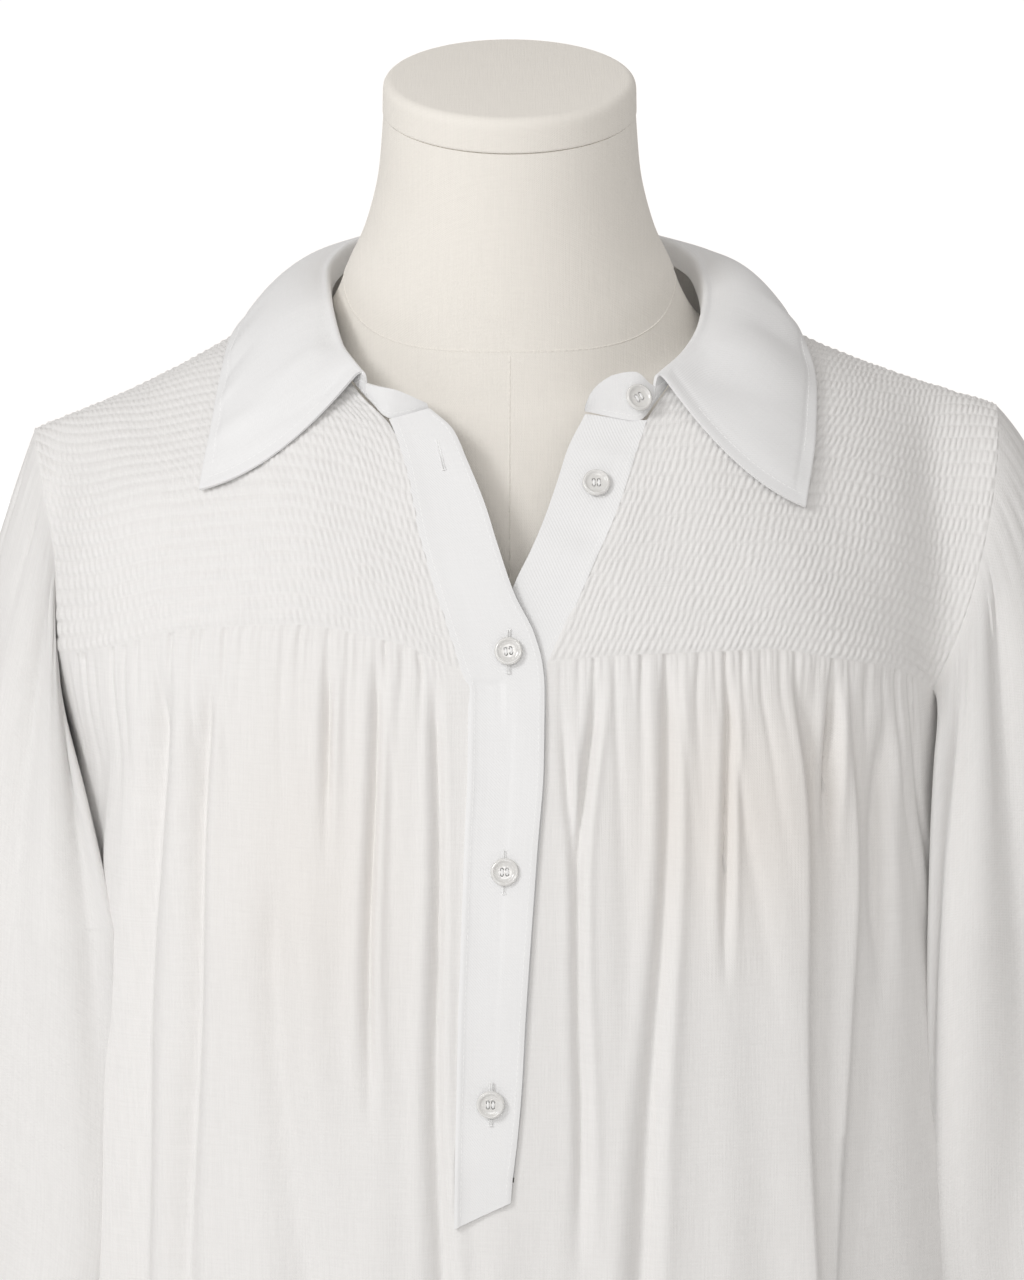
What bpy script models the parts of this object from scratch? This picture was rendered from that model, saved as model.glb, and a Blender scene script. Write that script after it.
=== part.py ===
"""Cotton tunic blouse worn by a limbless dress form on a counter stand.

The blouse has a shirred yoke at front and back, a pointed collar on a collar
stand, a half placket whose two upper buttons are open, a gathered body and
set-in sleeves that end in cuffs.

Axes: +X is the viewer's right, -Y is the front, +Z is up.  The origin is the
centre of the underside of the base plate.  Left and right in the names are
the wearer's, so the wearer's right lies at -X.

The tables below are in centimetres.  Their heights are measured from the
height of the neck point, where the shoulder meets the neck.
"""

import math

import bmesh
import bpy
import numpy as np

for item in list(bpy.data.objects):
    bpy.data.objects.remove(item, do_unlink=True)

CM = 0.01
NECK_POINT = 88.0          # height of the neck point above the floor
CLOTH = 0.15               # thickness of every cloth wall
GAP = 0.03                 # clear distance where two pieces meet at a seam


# Small helpers for curves

def smooth(value, knots):
    """Monotone cubic curve through (place, value) knots, held at both ends."""
    knots = np.array(sorted(knots), float)
    place, level = knots[:, 0], knots[:, 1]
    step = np.diff(place)
    slope = np.diff(level) / step
    before, after = slope[:-1], slope[1:]
    total = before + after
    safe = np.where(np.abs(total) > 1e-12, total, 1.0)
    middle = np.where(before * after > 0, 2 * before * after / safe, 0.0)
    tangent = np.concatenate(([slope[0]], middle, [slope[-1]]))
    at = np.clip(value, place[0], place[-1])
    low = np.clip(np.searchsorted(place, at, side="right") - 1, 0, len(step) - 1)
    s = (at - place[low]) / step[low]
    return ((1 + 2 * s) * (1 - s) ** 2 * level[low]
            + s * (1 - s) ** 2 * step[low] * tangent[low]
            + s * s * (3 - 2 * s) * level[low + 1]
            + s * s * (s - 1) * step[low] * tangent[low + 1])


def blend(a, b, share):
    return a + (b - a) * share


def ease(value):
    """Smooth step from 0 to 1, held outside."""
    v = np.clip(value, 0.0, 1.0)
    return v * v * (3 - 2 * v)


def unit(vectors):
    size = np.linalg.norm(vectors, axis=-1, keepdims=True)
    return vectors / np.maximum(size, 1e-12)


def join(x, y, z):
    x, y, z = np.broadcast_arrays(x, y, z)
    return np.stack([x, y, z], axis=-1).astype(float)


# Materials

def material(name, colour, roughness, metallic=0.0, transmission=0.0):
    made = bpy.data.materials.new(name)
    made.use_nodes = True
    shader = made.node_tree.nodes["Principled BSDF"]
    shader.inputs["Base Color"].default_value = (*colour, 1.0)
    shader.inputs["Roughness"].default_value = roughness
    shader.inputs["Metallic"].default_value = metallic
    shader.inputs["Transmission Weight"].default_value = transmission
    made.diffuse_color = (*colour, 1.0)
    return made


COTTON = material("white_cotton", (0.86, 0.85, 0.83), 0.85)
TWILL = material("white_twill", (0.84, 0.84, 0.83), 0.8)
JERSEY = material("form_jersey", (0.82, 0.79, 0.73), 0.9)
METAL = material("stand_metal", (0.62, 0.62, 0.61), 0.35, 1.0)
PEARL = material("button_plastic", (0.83, 0.82, 0.78), 0.2)


# Making closed solids

def add_solid(name, points, faces, slot):
    """One closed body from points in centimetres and faces."""
    mesh = bpy.data.meshes.new(name)
    place = np.asarray(points, float) * CM
    mesh.from_pydata([tuple(p) for p in place], [], [tuple(map(int, f)) for f in faces])
    mesh.materials.append(slot)
    shape = bmesh.new()
    shape.from_mesh(mesh)
    loose = [v for v in shape.verts if not v.link_faces]
    bmesh.ops.delete(shape, geom=loose, context="VERTS")
    bmesh.ops.recalc_face_normals(shape, faces=shape.faces[:])
    shape.to_mesh(mesh)
    shape.free()
    made = bpy.data.objects.new(name, mesh)
    bpy.context.scene.collection.objects.link(made)
    return made


def raise_to_stand(points):
    """Move points from neck-point heights to heights above the floor."""
    return np.asarray(points, float) + (0.0, 0.0, NECK_POINT)


def wall(name, outer, inner, slot, closed=False, keep=None):
    """Cloth wall between two grids of the same shape; keep drops faces of a notch."""
    rows, cols = outer.shape[:2]
    half = rows * cols
    face = []
    for r in range(rows - 1):
        for c in range(cols if closed else cols - 1):
            if keep is not None and not keep[r, c]:
                continue
            a, b = r * cols + c, r * cols + (c + 1) % cols
            face += [(a, b, b + cols), (a, b + cols, a + cols)]
    edges = {(f[i], f[(i + 1) % 3]) for f in face for i in range(3)}
    rim = [(p, q) for p, q in edges if (q, p) not in edges]
    back = [(f[2] + half, f[1] + half, f[0] + half) for f in face]
    side = [tri for p, q in sorted(rim)
            for tri in ((q, p, p + half), (q, p + half, q + half))]
    points = raise_to_stand(np.concatenate([outer.reshape(-1, 3), inner.reshape(-1, 3)]))
    return add_solid(name, points, face + back + side, slot)


def relief_wall(name, outer, inner, slot):
    """Wall with many rows outside and few rows inside, on the same columns."""
    rows, cols = outer.shape[:2]
    few = inner.shape[0]
    first = rows * cols
    face = []
    for count, start, flip in ((rows, 0, False), (few, first, True)):
        for r in range(count - 1):
            for c in range(cols - 1):
                a = start + r * cols + c
                quad = (a, a + 1, a + cols + 1, a + cols)
                quad = quad[::-1] if flip else quad
                face += [(quad[0], quad[1], quad[2]), (quad[0], quad[2], quad[3])]
    for c in range(cols - 1):
        for out_row, in_row, flip in ((0, 0, False), (rows - 1, few - 1, True)):
            a, b = out_row * cols + c, first + in_row * cols + c
            quad = (a + 1, a, b, b + 1)
            quad = quad[::-1] if flip else quad
            face += [(quad[0], quad[1], quad[2]), (quad[0], quad[2], quad[3])]
    for c, flip in ((0, False), (cols - 1, True)):
        i = j = 0
        while i < rows - 1 or j < few - 1:
            here, there = i * cols + c, first + j * cols + c
            if j == few - 1 or (i < rows - 1 and (i + 1) * (few - 1) <= (j + 1) * (rows - 1)):
                tri = (here, here + cols, there)
                i += 1
            else:
                tri = (here, there + cols, there)
                j += 1
            face.append(tri[::-1] if flip else tri)
    points = raise_to_stand(np.concatenate([outer.reshape(-1, 3), inner.reshape(-1, 3)]))
    return add_solid(name, points, face, slot)


def stack(name, rings, slot):
    """Solid through rings of equal count, closed by a flat face at each end."""
    count, around = rings.shape[:2]
    face = [tuple(range(around)), tuple(range((count - 1) * around, count * around))]
    for r in range(count - 1):
        for c in range(around):
            a, b = r * around + c, r * around + (c + 1) % around
            face += [(a, b, b + around), (a, b + around, a + around)]
    return add_solid(name, rings.reshape(-1, 3), face, slot)


# The body of the blouse as rings of a rounded box in plan

SIDE_Y = 0.5
BOXINESS = 2.35
HALF_WEARER_RIGHT = [(-10, 20.4), (-12, 20.2), (-16, 19.6), (-20, 18.4), (-24, 18.0),
                     (-32, 18.2), (-41, 18.7), (-60, 20.0), (-72.5, 21.0)]
HALF_WEARER_LEFT = [(-10, 20.4), (-12, 20.2), (-16, 19.0), (-20, 18.8), (-24, 19.0),
                    (-32, 19.6), (-41, 20.3), (-60, 21.5), (-72.5, 23.0)]
FRONT_Y = [(-10, -11.6), (-12, -12.1), (-13.5, -12.5), (-20, -14.2), (-26, -15.3),
           (-41, -15.8), (-60, -16.4), (-72.5, -17.0)]
BACK_Y = [(-10, 10.3), (-12, 11.0), (-24, 13.0), (-41, 14.0), (-60, 15.0), (-72.5, 16.0)]
HEM = -72.5


def half_width(x, z):
    return np.where(x < 0, smooth(z, HALF_WEARER_RIGHT), smooth(z, HALF_WEARER_LEFT))


def body_y(x, z, front=True):
    """Depth of the body ring at a width and height."""
    reach = np.clip(np.abs(x) / half_width(x, z), 0, 1)
    depth = smooth(z, FRONT_Y if front else BACK_Y) - SIDE_Y
    return SIDE_Y + depth * (1 - reach ** BOXINESS) ** (1 / BOXINESS)


def turn_of(x, z):
    """Turn around the ring, 0 at the middle and a quarter turn at the side."""
    reach = np.clip(np.abs(x) / half_width(x, z), 0, 1)
    return np.sign(x) * np.arcsin(reach ** (BOXINESS / 2))


def ring_point(turn, z, front=True):
    """Point on the body ring and its level outward direction."""
    half = half_width(turn, z)
    depth = smooth(z, FRONT_Y if front else BACK_Y) - SIDE_Y
    sine = np.abs(np.sin(turn)) ** (2 / BOXINESS)
    cosine = np.abs(np.cos(turn)) ** (2 / BOXINESS)
    point = join(np.sign(turn) * half * sine, SIDE_Y + depth * cosine, z)
    out = join(np.sign(turn) * sine ** (BOXINESS - 1) / half,
               cosine ** (BOXINESS - 1) / depth, 0 * z)
    return point, unit(out)


# The yoke as arcs that run from the yoke seam over to the shoulder

RIDGE_Y = 0.9
ARC = math.radians(70.0)
RIDGE_Z = [(-20.9, -6.3), (-20.4, -6.1), (-16, -4.3), (-12, -2.2), (-8.8, -0.2), (-8.2, 0.3),
           (-7, 0.5), (7, 0.5), (8.2, 0.3), (8.8, -0.2), (12.4, -2.05), (16, -3.5),
           (20.9, -5.05)]
FRONT_SEAM_Z = [(-19.2, -15.1), (-16.5, -14.1), (-13.25, -13.1), (-8.64, -12.65),
                (-4.55, -13.3), (-1.9, -14.25), (0, -14.2), (1.46, -14.0), (5.2, -13.75),
                (10.4, -13.7), (13.25, -14.25), (16.2, -15.1), (17.8, -16.4)]
FRONT_CORNER = (-19.2, 17.8)
BACK_RISE = [(0, 6.7), (2.5, 6.1), (5, 4.4), (7.2, 2.6), (8.8, 1.4), (10.5, 0.7), (14, 0.0)]
BACK_RISE_ANGLE = math.radians(32.0)
BACK_SEAM_Z = [(-19.3, -13.5), (-10, -12.3), (0, -11.8), (10, -12.3), (18.8, -13.5)]
BACK_CORNER = (-19.3, 18.8)
NECK_X = 8.8
NECK_Y = [(0, 7.7), (2.5, 7.5), (5.0, 6.8), (7.0, 5.6), (8.0, 4.2), (8.5, 2.8), (8.8, 0.9)]


def arc_top(x, angle, front=True):
    """Height an arc starts from; behind, it rises towards the back of the neck."""
    level = smooth(x, RIDGE_Z)
    if front:
        return level
    return level + smooth(np.abs(x), BACK_RISE) * ease(angle / BACK_RISE_ANGLE)


def yoke_foot(x, front=True):
    """Depth and height where the arc at this width meets the yoke seam."""
    corner = FRONT_CORNER if front else BACK_CORNER
    held = np.clip(x, *corner)
    foot_z = smooth(held, FRONT_SEAM_Z if front else BACK_SEAM_Z)
    return body_y(held, foot_z, front), foot_z


def yoke_point(x, angle, front=True):
    """Point of the arc at a width; angle 0 is the shoulder, ARC the yoke seam."""
    foot_y, foot_z = yoke_foot(x, front)
    top = arc_top(x, angle, front)
    y = RIDGE_Y + (foot_y - RIDGE_Y) * np.sin(angle) / math.sin(ARC)
    z = top - (top - foot_z) * (1 - np.cos(angle)) / (1 - math.cos(ARC))
    return join(x, y, z)


def yoke_normal(x, angle, front=True):
    across = yoke_point(x + 0.15, angle, front) - yoke_point(x - 0.15, angle, front)
    along = yoke_point(x, angle - 0.01, front) - yoke_point(x, angle + 0.01, front)
    out = unit(np.cross(across, along))
    return out if front else -out


def yoke_height(x, y):
    """Height of the yoke above a place in plan, front or back."""
    front = np.asarray(y) < RIDGE_Y
    level = []
    for side in (True, False):
        foot_y, foot_z = yoke_foot(x, side)
        sine = np.clip((y - RIDGE_Y) / (foot_y - RIDGE_Y), 0, 1) * math.sin(ARC)
        drop = (1 - np.sqrt(1 - sine * sine)) / (1 - math.cos(ARC))
        top = arc_top(x, np.arcsin(sine), side)
        level.append(top - (top - foot_z) * drop)
    return np.where(front, level[0], level[1])


def front_y(x, z):
    """Depth of the blouse front at a width and height, yoke or panel."""
    foot_y, foot_z = yoke_foot(x, True)
    top = arc_top(x, 0.0)
    drop = np.clip((top - z) / (top - foot_z), 0, 1) * (1 - math.cos(ARC))
    arc = RIDGE_Y + (foot_y - RIDGE_Y) * np.sqrt(1 - (1 - drop) ** 2) / math.sin(ARC)
    return np.where(z > foot_z, arc, body_y(x, z))


def front_normal(x, z):
    step = 0.2
    over = (front_y(x + step, z) - front_y(x - step, z)) / (2 * step)
    up = (front_y(x, z + step) - front_y(x, z - step)) / (2 * step)
    return unit(join(over, -1.0, up))


def even_angle(share):
    """Arc angle for an even walk from the yoke seam (0) to the shoulder (1)."""
    angle = np.linspace(ARC, 0, 200)
    y = 13.0 * np.sin(angle) / math.sin(ARC)
    z = 12.0 * np.cos(angle) / (1 - math.cos(ARC))
    walked = np.concatenate(([0], np.cumsum(np.hypot(np.diff(y), np.diff(z)))))
    return np.interp(share, walked / walked[-1], angle)


# Edges of the yoke: towards the placket and neck, and towards the armhole

OPEN_EDGE_WEARER_RIGHT = [(-14.25, -1.9), (-11.7, -2.75), (-9.4, -3.5), (-6.3, -4.2),
                          (-4.9, -4.85), (-3.6, -6.2), (-1.5, -7.9), (-0.2, -8.8)]
OPEN_EDGE_WEARER_LEFT = [(-14.0, 1.55), (-11.1, 2.9), (-8.1, 4.3), (-4.9, 5.5),
                         (-3.6, 6.4), (-1.5, 8.0), (-0.2, 8.8)]
ARM_EDGE_WEARER_RIGHT = [(-15.1, -19.2), (-11.7, -19.25), (-8.5, -19.8), (-6.1, -20.4)]
ARM_EDGE_WEARER_LEFT = [(-16.4, 17.8), (-13.5, 19.1), (-10.9, 19.9), (-7.5, 20.6),
                        (-5.05, 20.9)]
ARM_EDGE_BACK_RIGHT = [(-13.5, -19.3), (-10, -19.5), (-8, -19.9), (-6.1, -20.4)]
ARM_EDGE_BACK_LEFT = [(-13.5, 18.8), (-10, 19.8), (-7.5, 20.5), (-5.05, 20.9)]


def edge_x(angle, edge, start, front=True):
    """Width at which the arc angle meets an edge given as (height, width)."""
    x = np.full(np.shape(angle), float(start))
    for _ in range(60):
        x = 0.5 * x + 0.5 * smooth(yoke_point(x, angle, front)[..., 2], edge)
    return x


SHIRR_PITCH = 0.64         # distance between two rows of shirring
SHIRR_RISE = 0.09          # height of the puffed cloth between two rows


def shirring(rows, cols):
    """Rise of each grid point: even rows lie on the thread, odd ones puff out."""
    puff = (np.arange(rows) % 2)[:, None] * np.ones(cols)[None, :]
    uneven = 0.72 + 0.28 * np.cos(1.9 * np.arange(cols)[None, :]
                                  + 2.6 * (np.arange(rows)[:, None] // 2))
    edge = np.ones((rows, cols))
    edge[[0, -1], :] = 0
    edge[:, [0, -1]] = 0
    return SHIRR_RISE * puff * uneven * edge


def front_yoke(name, arm_edge, open_edge, start_arm, start_open, gap_sign):
    """One shirred front yoke from its open edge to its armhole."""
    rows, cols, few = 35, 13, 10

    def layer(count):
        angle = even_angle(np.linspace(0.0, 1.0, count))
        inside = edge_x(angle, open_edge, start_open) - gap_sign * GAP
        outside = edge_x(angle, arm_edge, start_arm)
        share = np.linspace(0, 1, cols)[None, :]
        x = blend(inside[:, None], outside[:, None], share)
        angle = angle[:, None] * np.ones(cols)[None, :]
        point = yoke_point(x, angle)
        normal = yoke_normal(x, angle)
        normal[0] = ring_point(turn_of(x[0], point[0, :, 2]), point[0, :, 2])[1]
        normal[-1, :, 1] = 0
        point[0, :, 2] += GAP / 2
        point[-1, :, 1] -= GAP / 2
        return point, unit(normal)

    point, normal = layer(rows)
    outer = point + normal * shirring(rows, cols)[..., None]
    point, normal = layer(few)
    relief_wall(name, outer, point - CLOTH * normal, COTTON)


def neck_angle(x):
    """Arc angle of the back yoke's top edge: the neckline between the shoulders."""
    foot_y, _ = yoke_foot(x, False)
    reach = (smooth(np.abs(x), NECK_Y) - RIDGE_Y) / (foot_y - RIDGE_Y)
    return np.where(np.abs(x) < NECK_X, np.arcsin(np.clip(reach, 0, 1) * math.sin(ARC)), 0.0)


BACK_WIDTHS_RIGHT = (20.4, 18.6, 16.4, 14.0, 11.6, 9.8, 8.8, 8.5, 8.0, 7.0, 5.0, 2.5)
BACK_WIDTHS = np.array([-w for w in BACK_WIDTHS_RIGHT] + [0.0]
                       + list(BACK_WIDTHS_RIGHT[:0:-1]) + [20.9])


def back_columns(share):
    """Width and arc angle of the back yoke's grid; share 0 is its lower seam."""
    share = share[:, None]
    top = neck_angle(BACK_WIDTHS)[None, :]
    angle = top + even_angle(share) * (ARC - top) / ARC
    shoulder = np.where(BACK_WIDTHS < 0, -20.4, 20.9)
    arm = np.where(BACK_WIDTHS < 0,
                   edge_x(even_angle(share), ARM_EDGE_BACK_RIGHT, -20, False),
                   edge_x(even_angle(share), ARM_EDGE_BACK_LEFT, 20, False))
    pull = (arm / shoulder - 1) * (BACK_WIDTHS / shoulder) ** 2
    return BACK_WIDTHS[None, :] * (1 + pull), angle


def back_yoke():
    """The shirred back yoke in one piece, from armhole to armhole."""
    rows, few = 25, 8

    def layer(count):
        x, angle = back_columns(np.linspace(0, 1, count))
        point = yoke_point(x, angle, False)
        normal = yoke_normal(x, angle, False)
        normal[0] = ring_point(turn_of(x[0], point[0, :, 2]), point[0, :, 2], False)[1]
        normal[-1, :, 1] = np.where(np.abs(BACK_WIDTHS) >= NECK_X, 0, normal[-1, :, 1])
        point[0, :, 2] += GAP / 2
        point[-1, :, 1] += GAP / 2
        return point, unit(normal)

    point, normal = layer(rows)
    outer = point + normal * shirring(rows, len(BACK_WIDTHS))[..., None]
    point, normal = layer(few)
    relief_wall("yoke_back", outer, point - CLOTH * normal, COTTON)


# The placket: edges of the upper band and of the band below it

OVER_EDGES = [(-4.78, -4.8, -4.45, -3.2), (-5.1, -4.62, -5.05, -2.33),
              (-6.3, -4.2, -6.3, -1.7), (-7.9, -3.85, -7.9, -1.0),
              (-9.4, -3.5, -9.4, -0.5), (-11.35, -2.88, -11.35, 0.2),
              (-12.9, -2.36, -12.9, 1.0), (-14.25, -1.9, -14.15, 1.34),
              (-15.3, -1.58, -15.2, 1.42), (-18.1, -1.6, -18.1, 1.38),
              (-21.4, -1.74, -21.4, 1.13), (-24.9, -1.86, -24.9, 0.87),
              (-28.35, -1.99, -28.35, 0.64), (-31.0, -2.05, -31.0, 0.5),
              (-33.3, -2.1, -33.3, 0.31), (-35.0, -2.12, -34.9, 0.12),
              (-36.9, -2.14, -35.8, 0.05)]
UNDER_EDGES = [(-4.45, 3.05, -4.85, 5.5), (-5.6, 2.4, -5.7, 5.18), (-6.9, 1.95, -6.9, 4.75),
               (-8.3, 1.43, -8.1, 4.3), (-9.6, 0.85, -9.6, 3.6), (-10.6, 0.33, -10.9, 3.0),
               (-11.8, -0.2, -12.0, 2.5), (-12.9, -0.75, -12.9, 2.08),
               (-14.1, -1.3, -14.0, 1.55), (-18.1, -1.35, -18.1, 1.47),
               (-24.9, -1.6, -24.9, 0.96), (-31.0, -1.8, -31.0, 0.6), (-34.8, -1.9, -34.8, 0.22)]
NOTCH_BOTTOM = -35.0
NOTCH_RIGHT_SIDE = [(r[0], r[1]) for r in OVER_EDGES[7:]]
NOTCH_LEFT_SIDE = [(r[2], r[3]) for r in UNDER_EDGES[8:]] + [(-36.0, 0.15)]
BAND_LIFT = 0.22


def placket_band(name, edges, over):
    """A band as a strip between its two edges, tipped so that the two pass."""
    table = np.array(edges)
    share = np.linspace(0, 1, 5)[None, :]
    z = blend(table[:, 0:1], table[:, 2:3], share)
    x = blend(table[:, 1:2] + GAP, table[:, 3:4] - GAP, share)
    if over:
        sewn = BAND_LIFT * share + 0 * z
        lift = np.maximum(sewn, BAND_LIFT * ease((-32.5 - z) / 2.2))
    else:
        lift = BAND_LIFT * (share - 1)
    point = join(x, front_y(x, z), z)
    normal = front_normal(x, z)
    outer = point + normal * lift[..., None]
    wall(name, outer, outer - CLOTH * normal, TWILL)


# The folds of the front panel, each a valley that runs down from the seam.
# Columns: width at -15, -22, -29 and -40, first and last height, depth, reach.

FRONT_FOLDS = [
    (-14.4, -14.9, -15.2, -15.6, -14, -73, 0.42, 0.75),
    (-12.3, -12.8, -13.1, -13.5, -14, -73, 0.34, 0.65),
    (-10.2, -9.9, -9.6, -8.4, -22, -73, 0.30, 1.20),
    (-7.4, -7.4, -7.3, -7.2, -13, -20, 0.22, 0.55),
    (-5.5, -5.6, -5.7, -5.8, -13, -30, 0.26, 0.60),
    (-3.0, -2.95, -2.95, -2.85, -14, -52, 0.34, 0.50),
    (2.2, 2.5, 2.6, 2.8, -15, -25, 0.20, 0.50),
    (3.5, 2.9, 2.8, 2.8, -14, -40, 0.22, 0.55),
    (6.5, 6.3, 6.0, 5.2, -13, -36, 0.40, 0.65),
    (8.9, 8.9, 8.8, 8.8, -14, -25, 0.24, 0.60),
    (11.5, 12.2, 12.4, 12.6, -14, -73, 0.60, 0.85),
    (13.9, 13.2, 13.0, 13.0, -14, -22, 0.30, 0.55),
    (15.2, 14.6, 14.1, 13.8, -15, -73, 0.50, 0.75),
]
BACK_FOLDS = [
    (-15.0, -15.3, -15.6, -16.2, -13, -73, 0.45, 0.90),
    (-10.6, -10.9, -11.4, -12.0, -12, -73, 0.38, 0.90),
    (-6.2, -6.3, -6.2, -6.0, -12, -40, 0.30, 0.80),
    (-1.6, -1.4, -1.4, -1.6, -12, -73, 0.42, 0.95),
    (3.4, 3.6, 3.8, 4.2, -12, -73, 0.34, 0.90),
    (8.2, 8.4, 8.9, 9.4, -12, -73, 0.46, 0.90),
    (12.6, 12.9, 13.4, 14.0, -13, -44, 0.34, 0.80),
    (16.0, 16.2, 16.8, 17.6, -13, -73, 0.42, 0.90),
]
FOLD_HEIGHTS = (-15.0, -22.0, -29.0, -40.0)


def folds(x, z, table):
    """Sum of soft valleys; each fades in below the seam and out at its end."""
    total = np.zeros(np.broadcast(x, z).shape)
    for *widths, first, last, depth, reach in table:
        centre = smooth(z, list(zip(FOLD_HEIGHTS, widths)))
        grown = reach * (1 + 0.5 * ease((-z - 22) / 40))
        fade = ease((first - z) / 3.5) * (1 - ease((last + 6 - z) / 6))
        total -= depth * fade * np.exp(-((x - centre) / grown) ** 2)
    return total


def gathers(count, z, top, length, rise):
    """Peaks and valleys on alternate columns that die out below the seam."""
    sign = np.where(np.arange(count) % 2, 1.0, -1.0)[None, :]
    uneven = 0.7 + 0.3 * np.cos(2.3 * np.arange(count))[None, :]
    fade = np.exp(-((top - z) / length) ** 2)
    return rise * sign * uneven * fade


PANEL_DOWN = np.array([0, 0.022, 0.06, 0.11, 0.19, 0.27, 0.359, 0.52, 0.75, 1.0])


def facet(x, seam, stops):
    """Seam height on the straight pieces between the yoke's columns."""
    stops = np.sort(stops)
    return np.interp(x, stops, smooth(stops, seam))


FRONT_STOPS_RIGHT = np.linspace(-19.2, -1.9 - GAP, 13)
FRONT_STOPS_LEFT = np.linspace(1.55 + GAP, 17.8, 13)


def panel_top(count, edge_count, corner_x, corner_z, inner_x, seam, stops=None):
    """Turn and height of a half panel's top edge, from the underarm inward."""
    along = np.linspace(0, 1, edge_count, endpoint=False)
    side = math.copysign(1.0, corner_x)
    corner_turn = float(turn_of(np.array(corner_x), np.array(corner_z)))
    arm_z = blend(-22.0, corner_z, along ** 0.85)
    arm_turn = blend(side * math.pi / 2, corner_turn, along ** 1.3)
    x = np.linspace(corner_x, inner_x, count - edge_count)
    z = smooth(x, seam) if stops is None else facet(x, seam, stops)
    return np.concatenate([arm_turn, turn_of(x, z)]), np.concatenate([arm_z, z])


def front_panel():
    """The gathered front with its notch for the placket."""
    left_count, right_count, between = 47, 48, 2
    turn_a, top_a = panel_top(left_count, 6, -19.2, -15.1, -1.9, FRONT_SEAM_Z,
                              FRONT_STOPS_RIGHT)
    turn_b, top_b = panel_top(right_count, 6, 17.8, -16.4, 1.55, FRONT_SEAM_Z,
                              FRONT_STOPS_LEFT)
    down = PANEL_DOWN[:, None]

    def half(turn, top, notch, shift):
        z = top[None, :] + (HEM - top[None, :]) * down
        share = np.linspace(0, 1, len(turn))[None, :]
        edge = smooth(z[:, -1], notch) + shift
        low = blend(turn[0], turn_of(edge[-1:], np.array([HEM]))[0], share)
        mixed = blend(turn[None, :], low, down ** 0.7)
        wanted = turn_of(edge, z[:, -1])[:, None]
        return mixed + share ** 6 * (wanted - mixed[:, -1:]), z

    turn_a, z_a = half(turn_a, top_a, NOTCH_RIGHT_SIDE, -GAP)
    turn_b, z_b = half(turn_b, top_b, NOTCH_LEFT_SIDE, GAP)
    share = (np.arange(1, between + 1) / (between + 1))[None, :]
    turn_m = blend(turn_a[:, -1:], turn_b[:, -1:], share)
    z_m = blend(z_a[:, -1:], z_b[:, -1:], share)
    turn = np.concatenate([turn_a, turn_m, turn_b[:, ::-1]], axis=1)
    z = np.concatenate([z_a, z_m, z_b[:, ::-1]], axis=1)
    point, out = ring_point(turn, z)
    x = point[..., 0]
    calm = ease((np.abs(x + 0.4 + 0.03 * (z + 14)) - 1.9) / 1.2)
    calm = np.where(z < NOTCH_BOTTOM - 3, 1.0, calm)
    side = ease((math.pi / 2 - np.abs(turn)) / 0.16)
    rise = folds(x, z, FRONT_FOLDS) + gathers(x.shape[1], z, z[:1], 5.5, 0.10)
    rise[:, :7] *= ease(down / 0.2)
    rise[:, -7:] *= ease(down / 0.2)
    rise += 0.35 * ease((-z - 25) / 48) * np.cos(x * 1.35 + 0.6)
    point += out * (rise * calm * side)[..., None]
    point[..., 1] -= 0.02
    point[0, :, 2] -= GAP / 2
    keep = np.ones((len(down) - 1, turn.shape[1] - 1), bool)
    keep[:6, left_count - 1:left_count + between] = False
    wall("front_panel", point, point - CLOTH * out, COTTON, keep=keep)


def back_panel():
    """The gathered back."""
    count = 38
    widths, _ = back_columns(np.array([0.0]))
    turn_a, top_a = panel_top(count, 5, -19.3, -13.5, 0.0, BACK_SEAM_Z, widths[0])
    turn_b, top_b = panel_top(count, 5, 18.8, -13.5, 0.0, BACK_SEAM_Z, widths[0])
    top_turn = np.concatenate([turn_a, turn_b[-2::-1]])
    top = np.concatenate([top_a, top_b[-2::-1]])[None, :]
    down = np.array([0, 0.03, 0.09, 0.18, 0.34, 0.55, 0.78, 1.0])[:, None]
    z = top + (HEM - top) * down
    low = np.linspace(-math.pi / 2, math.pi / 2, len(top_turn))[None, :]
    turn = blend(top_turn[None, :], low, down ** 0.7)
    point, out = ring_point(turn, z, False)
    x = point[..., 0]
    side = ease((math.pi / 2 - np.abs(turn)) / 0.16)
    rise = folds(x, z, BACK_FOLDS) + gathers(x.shape[1], z, top, 6.0, 0.11)
    rise[:, :6] *= ease(down / 0.2)
    rise[:, -6:] *= ease(down / 0.2)
    rise += 0.35 * ease((-z - 25) / 48) * np.cos(x * 1.2)
    point += out * (rise * side)[..., None]
    point[..., 1] += 0.02
    point[0, :, 2] -= GAP / 2
    wall("back_panel", point, point - CLOTH * out, COTTON)


# Sleeves: from the armhole loop down to the cuff

# height: centre out from the middle, half width, half depth, y, lean, roundness
SLEEVE_RINGS = {
    -26.0: (22.3, 3.6, 8.0, -1.0, 2.4, 0.85), -33.0: (23.4, 3.9, 7.8, -1.3, 3.1, 0.85),
    -41.0: (24.2, 4.0, 7.4, -1.8, 3.7, 0.86), -50.0: (25.0, 4.2, 6.8, -2.2, 3.4, 0.9),
    -56.0: (25.2, 4.0, 6.0, -2.4, 2.4, 0.95), -59.0: (25.1, 3.1, 4.6, -2.5, 0.7, 1.0),
    -60.0: (25.0, 2.8, 4.1, -2.5, 0.0, 1.0)}
SLEEVE_AROUND = 24
CUFF_RINGS = ((-60.05, 25.0, 2.8, 4.1, -2.5), (-63.0, 24.9, 2.8, 4.1, -2.55),
              (-66.0, 24.8, 2.7, 4.05, -2.6))


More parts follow.
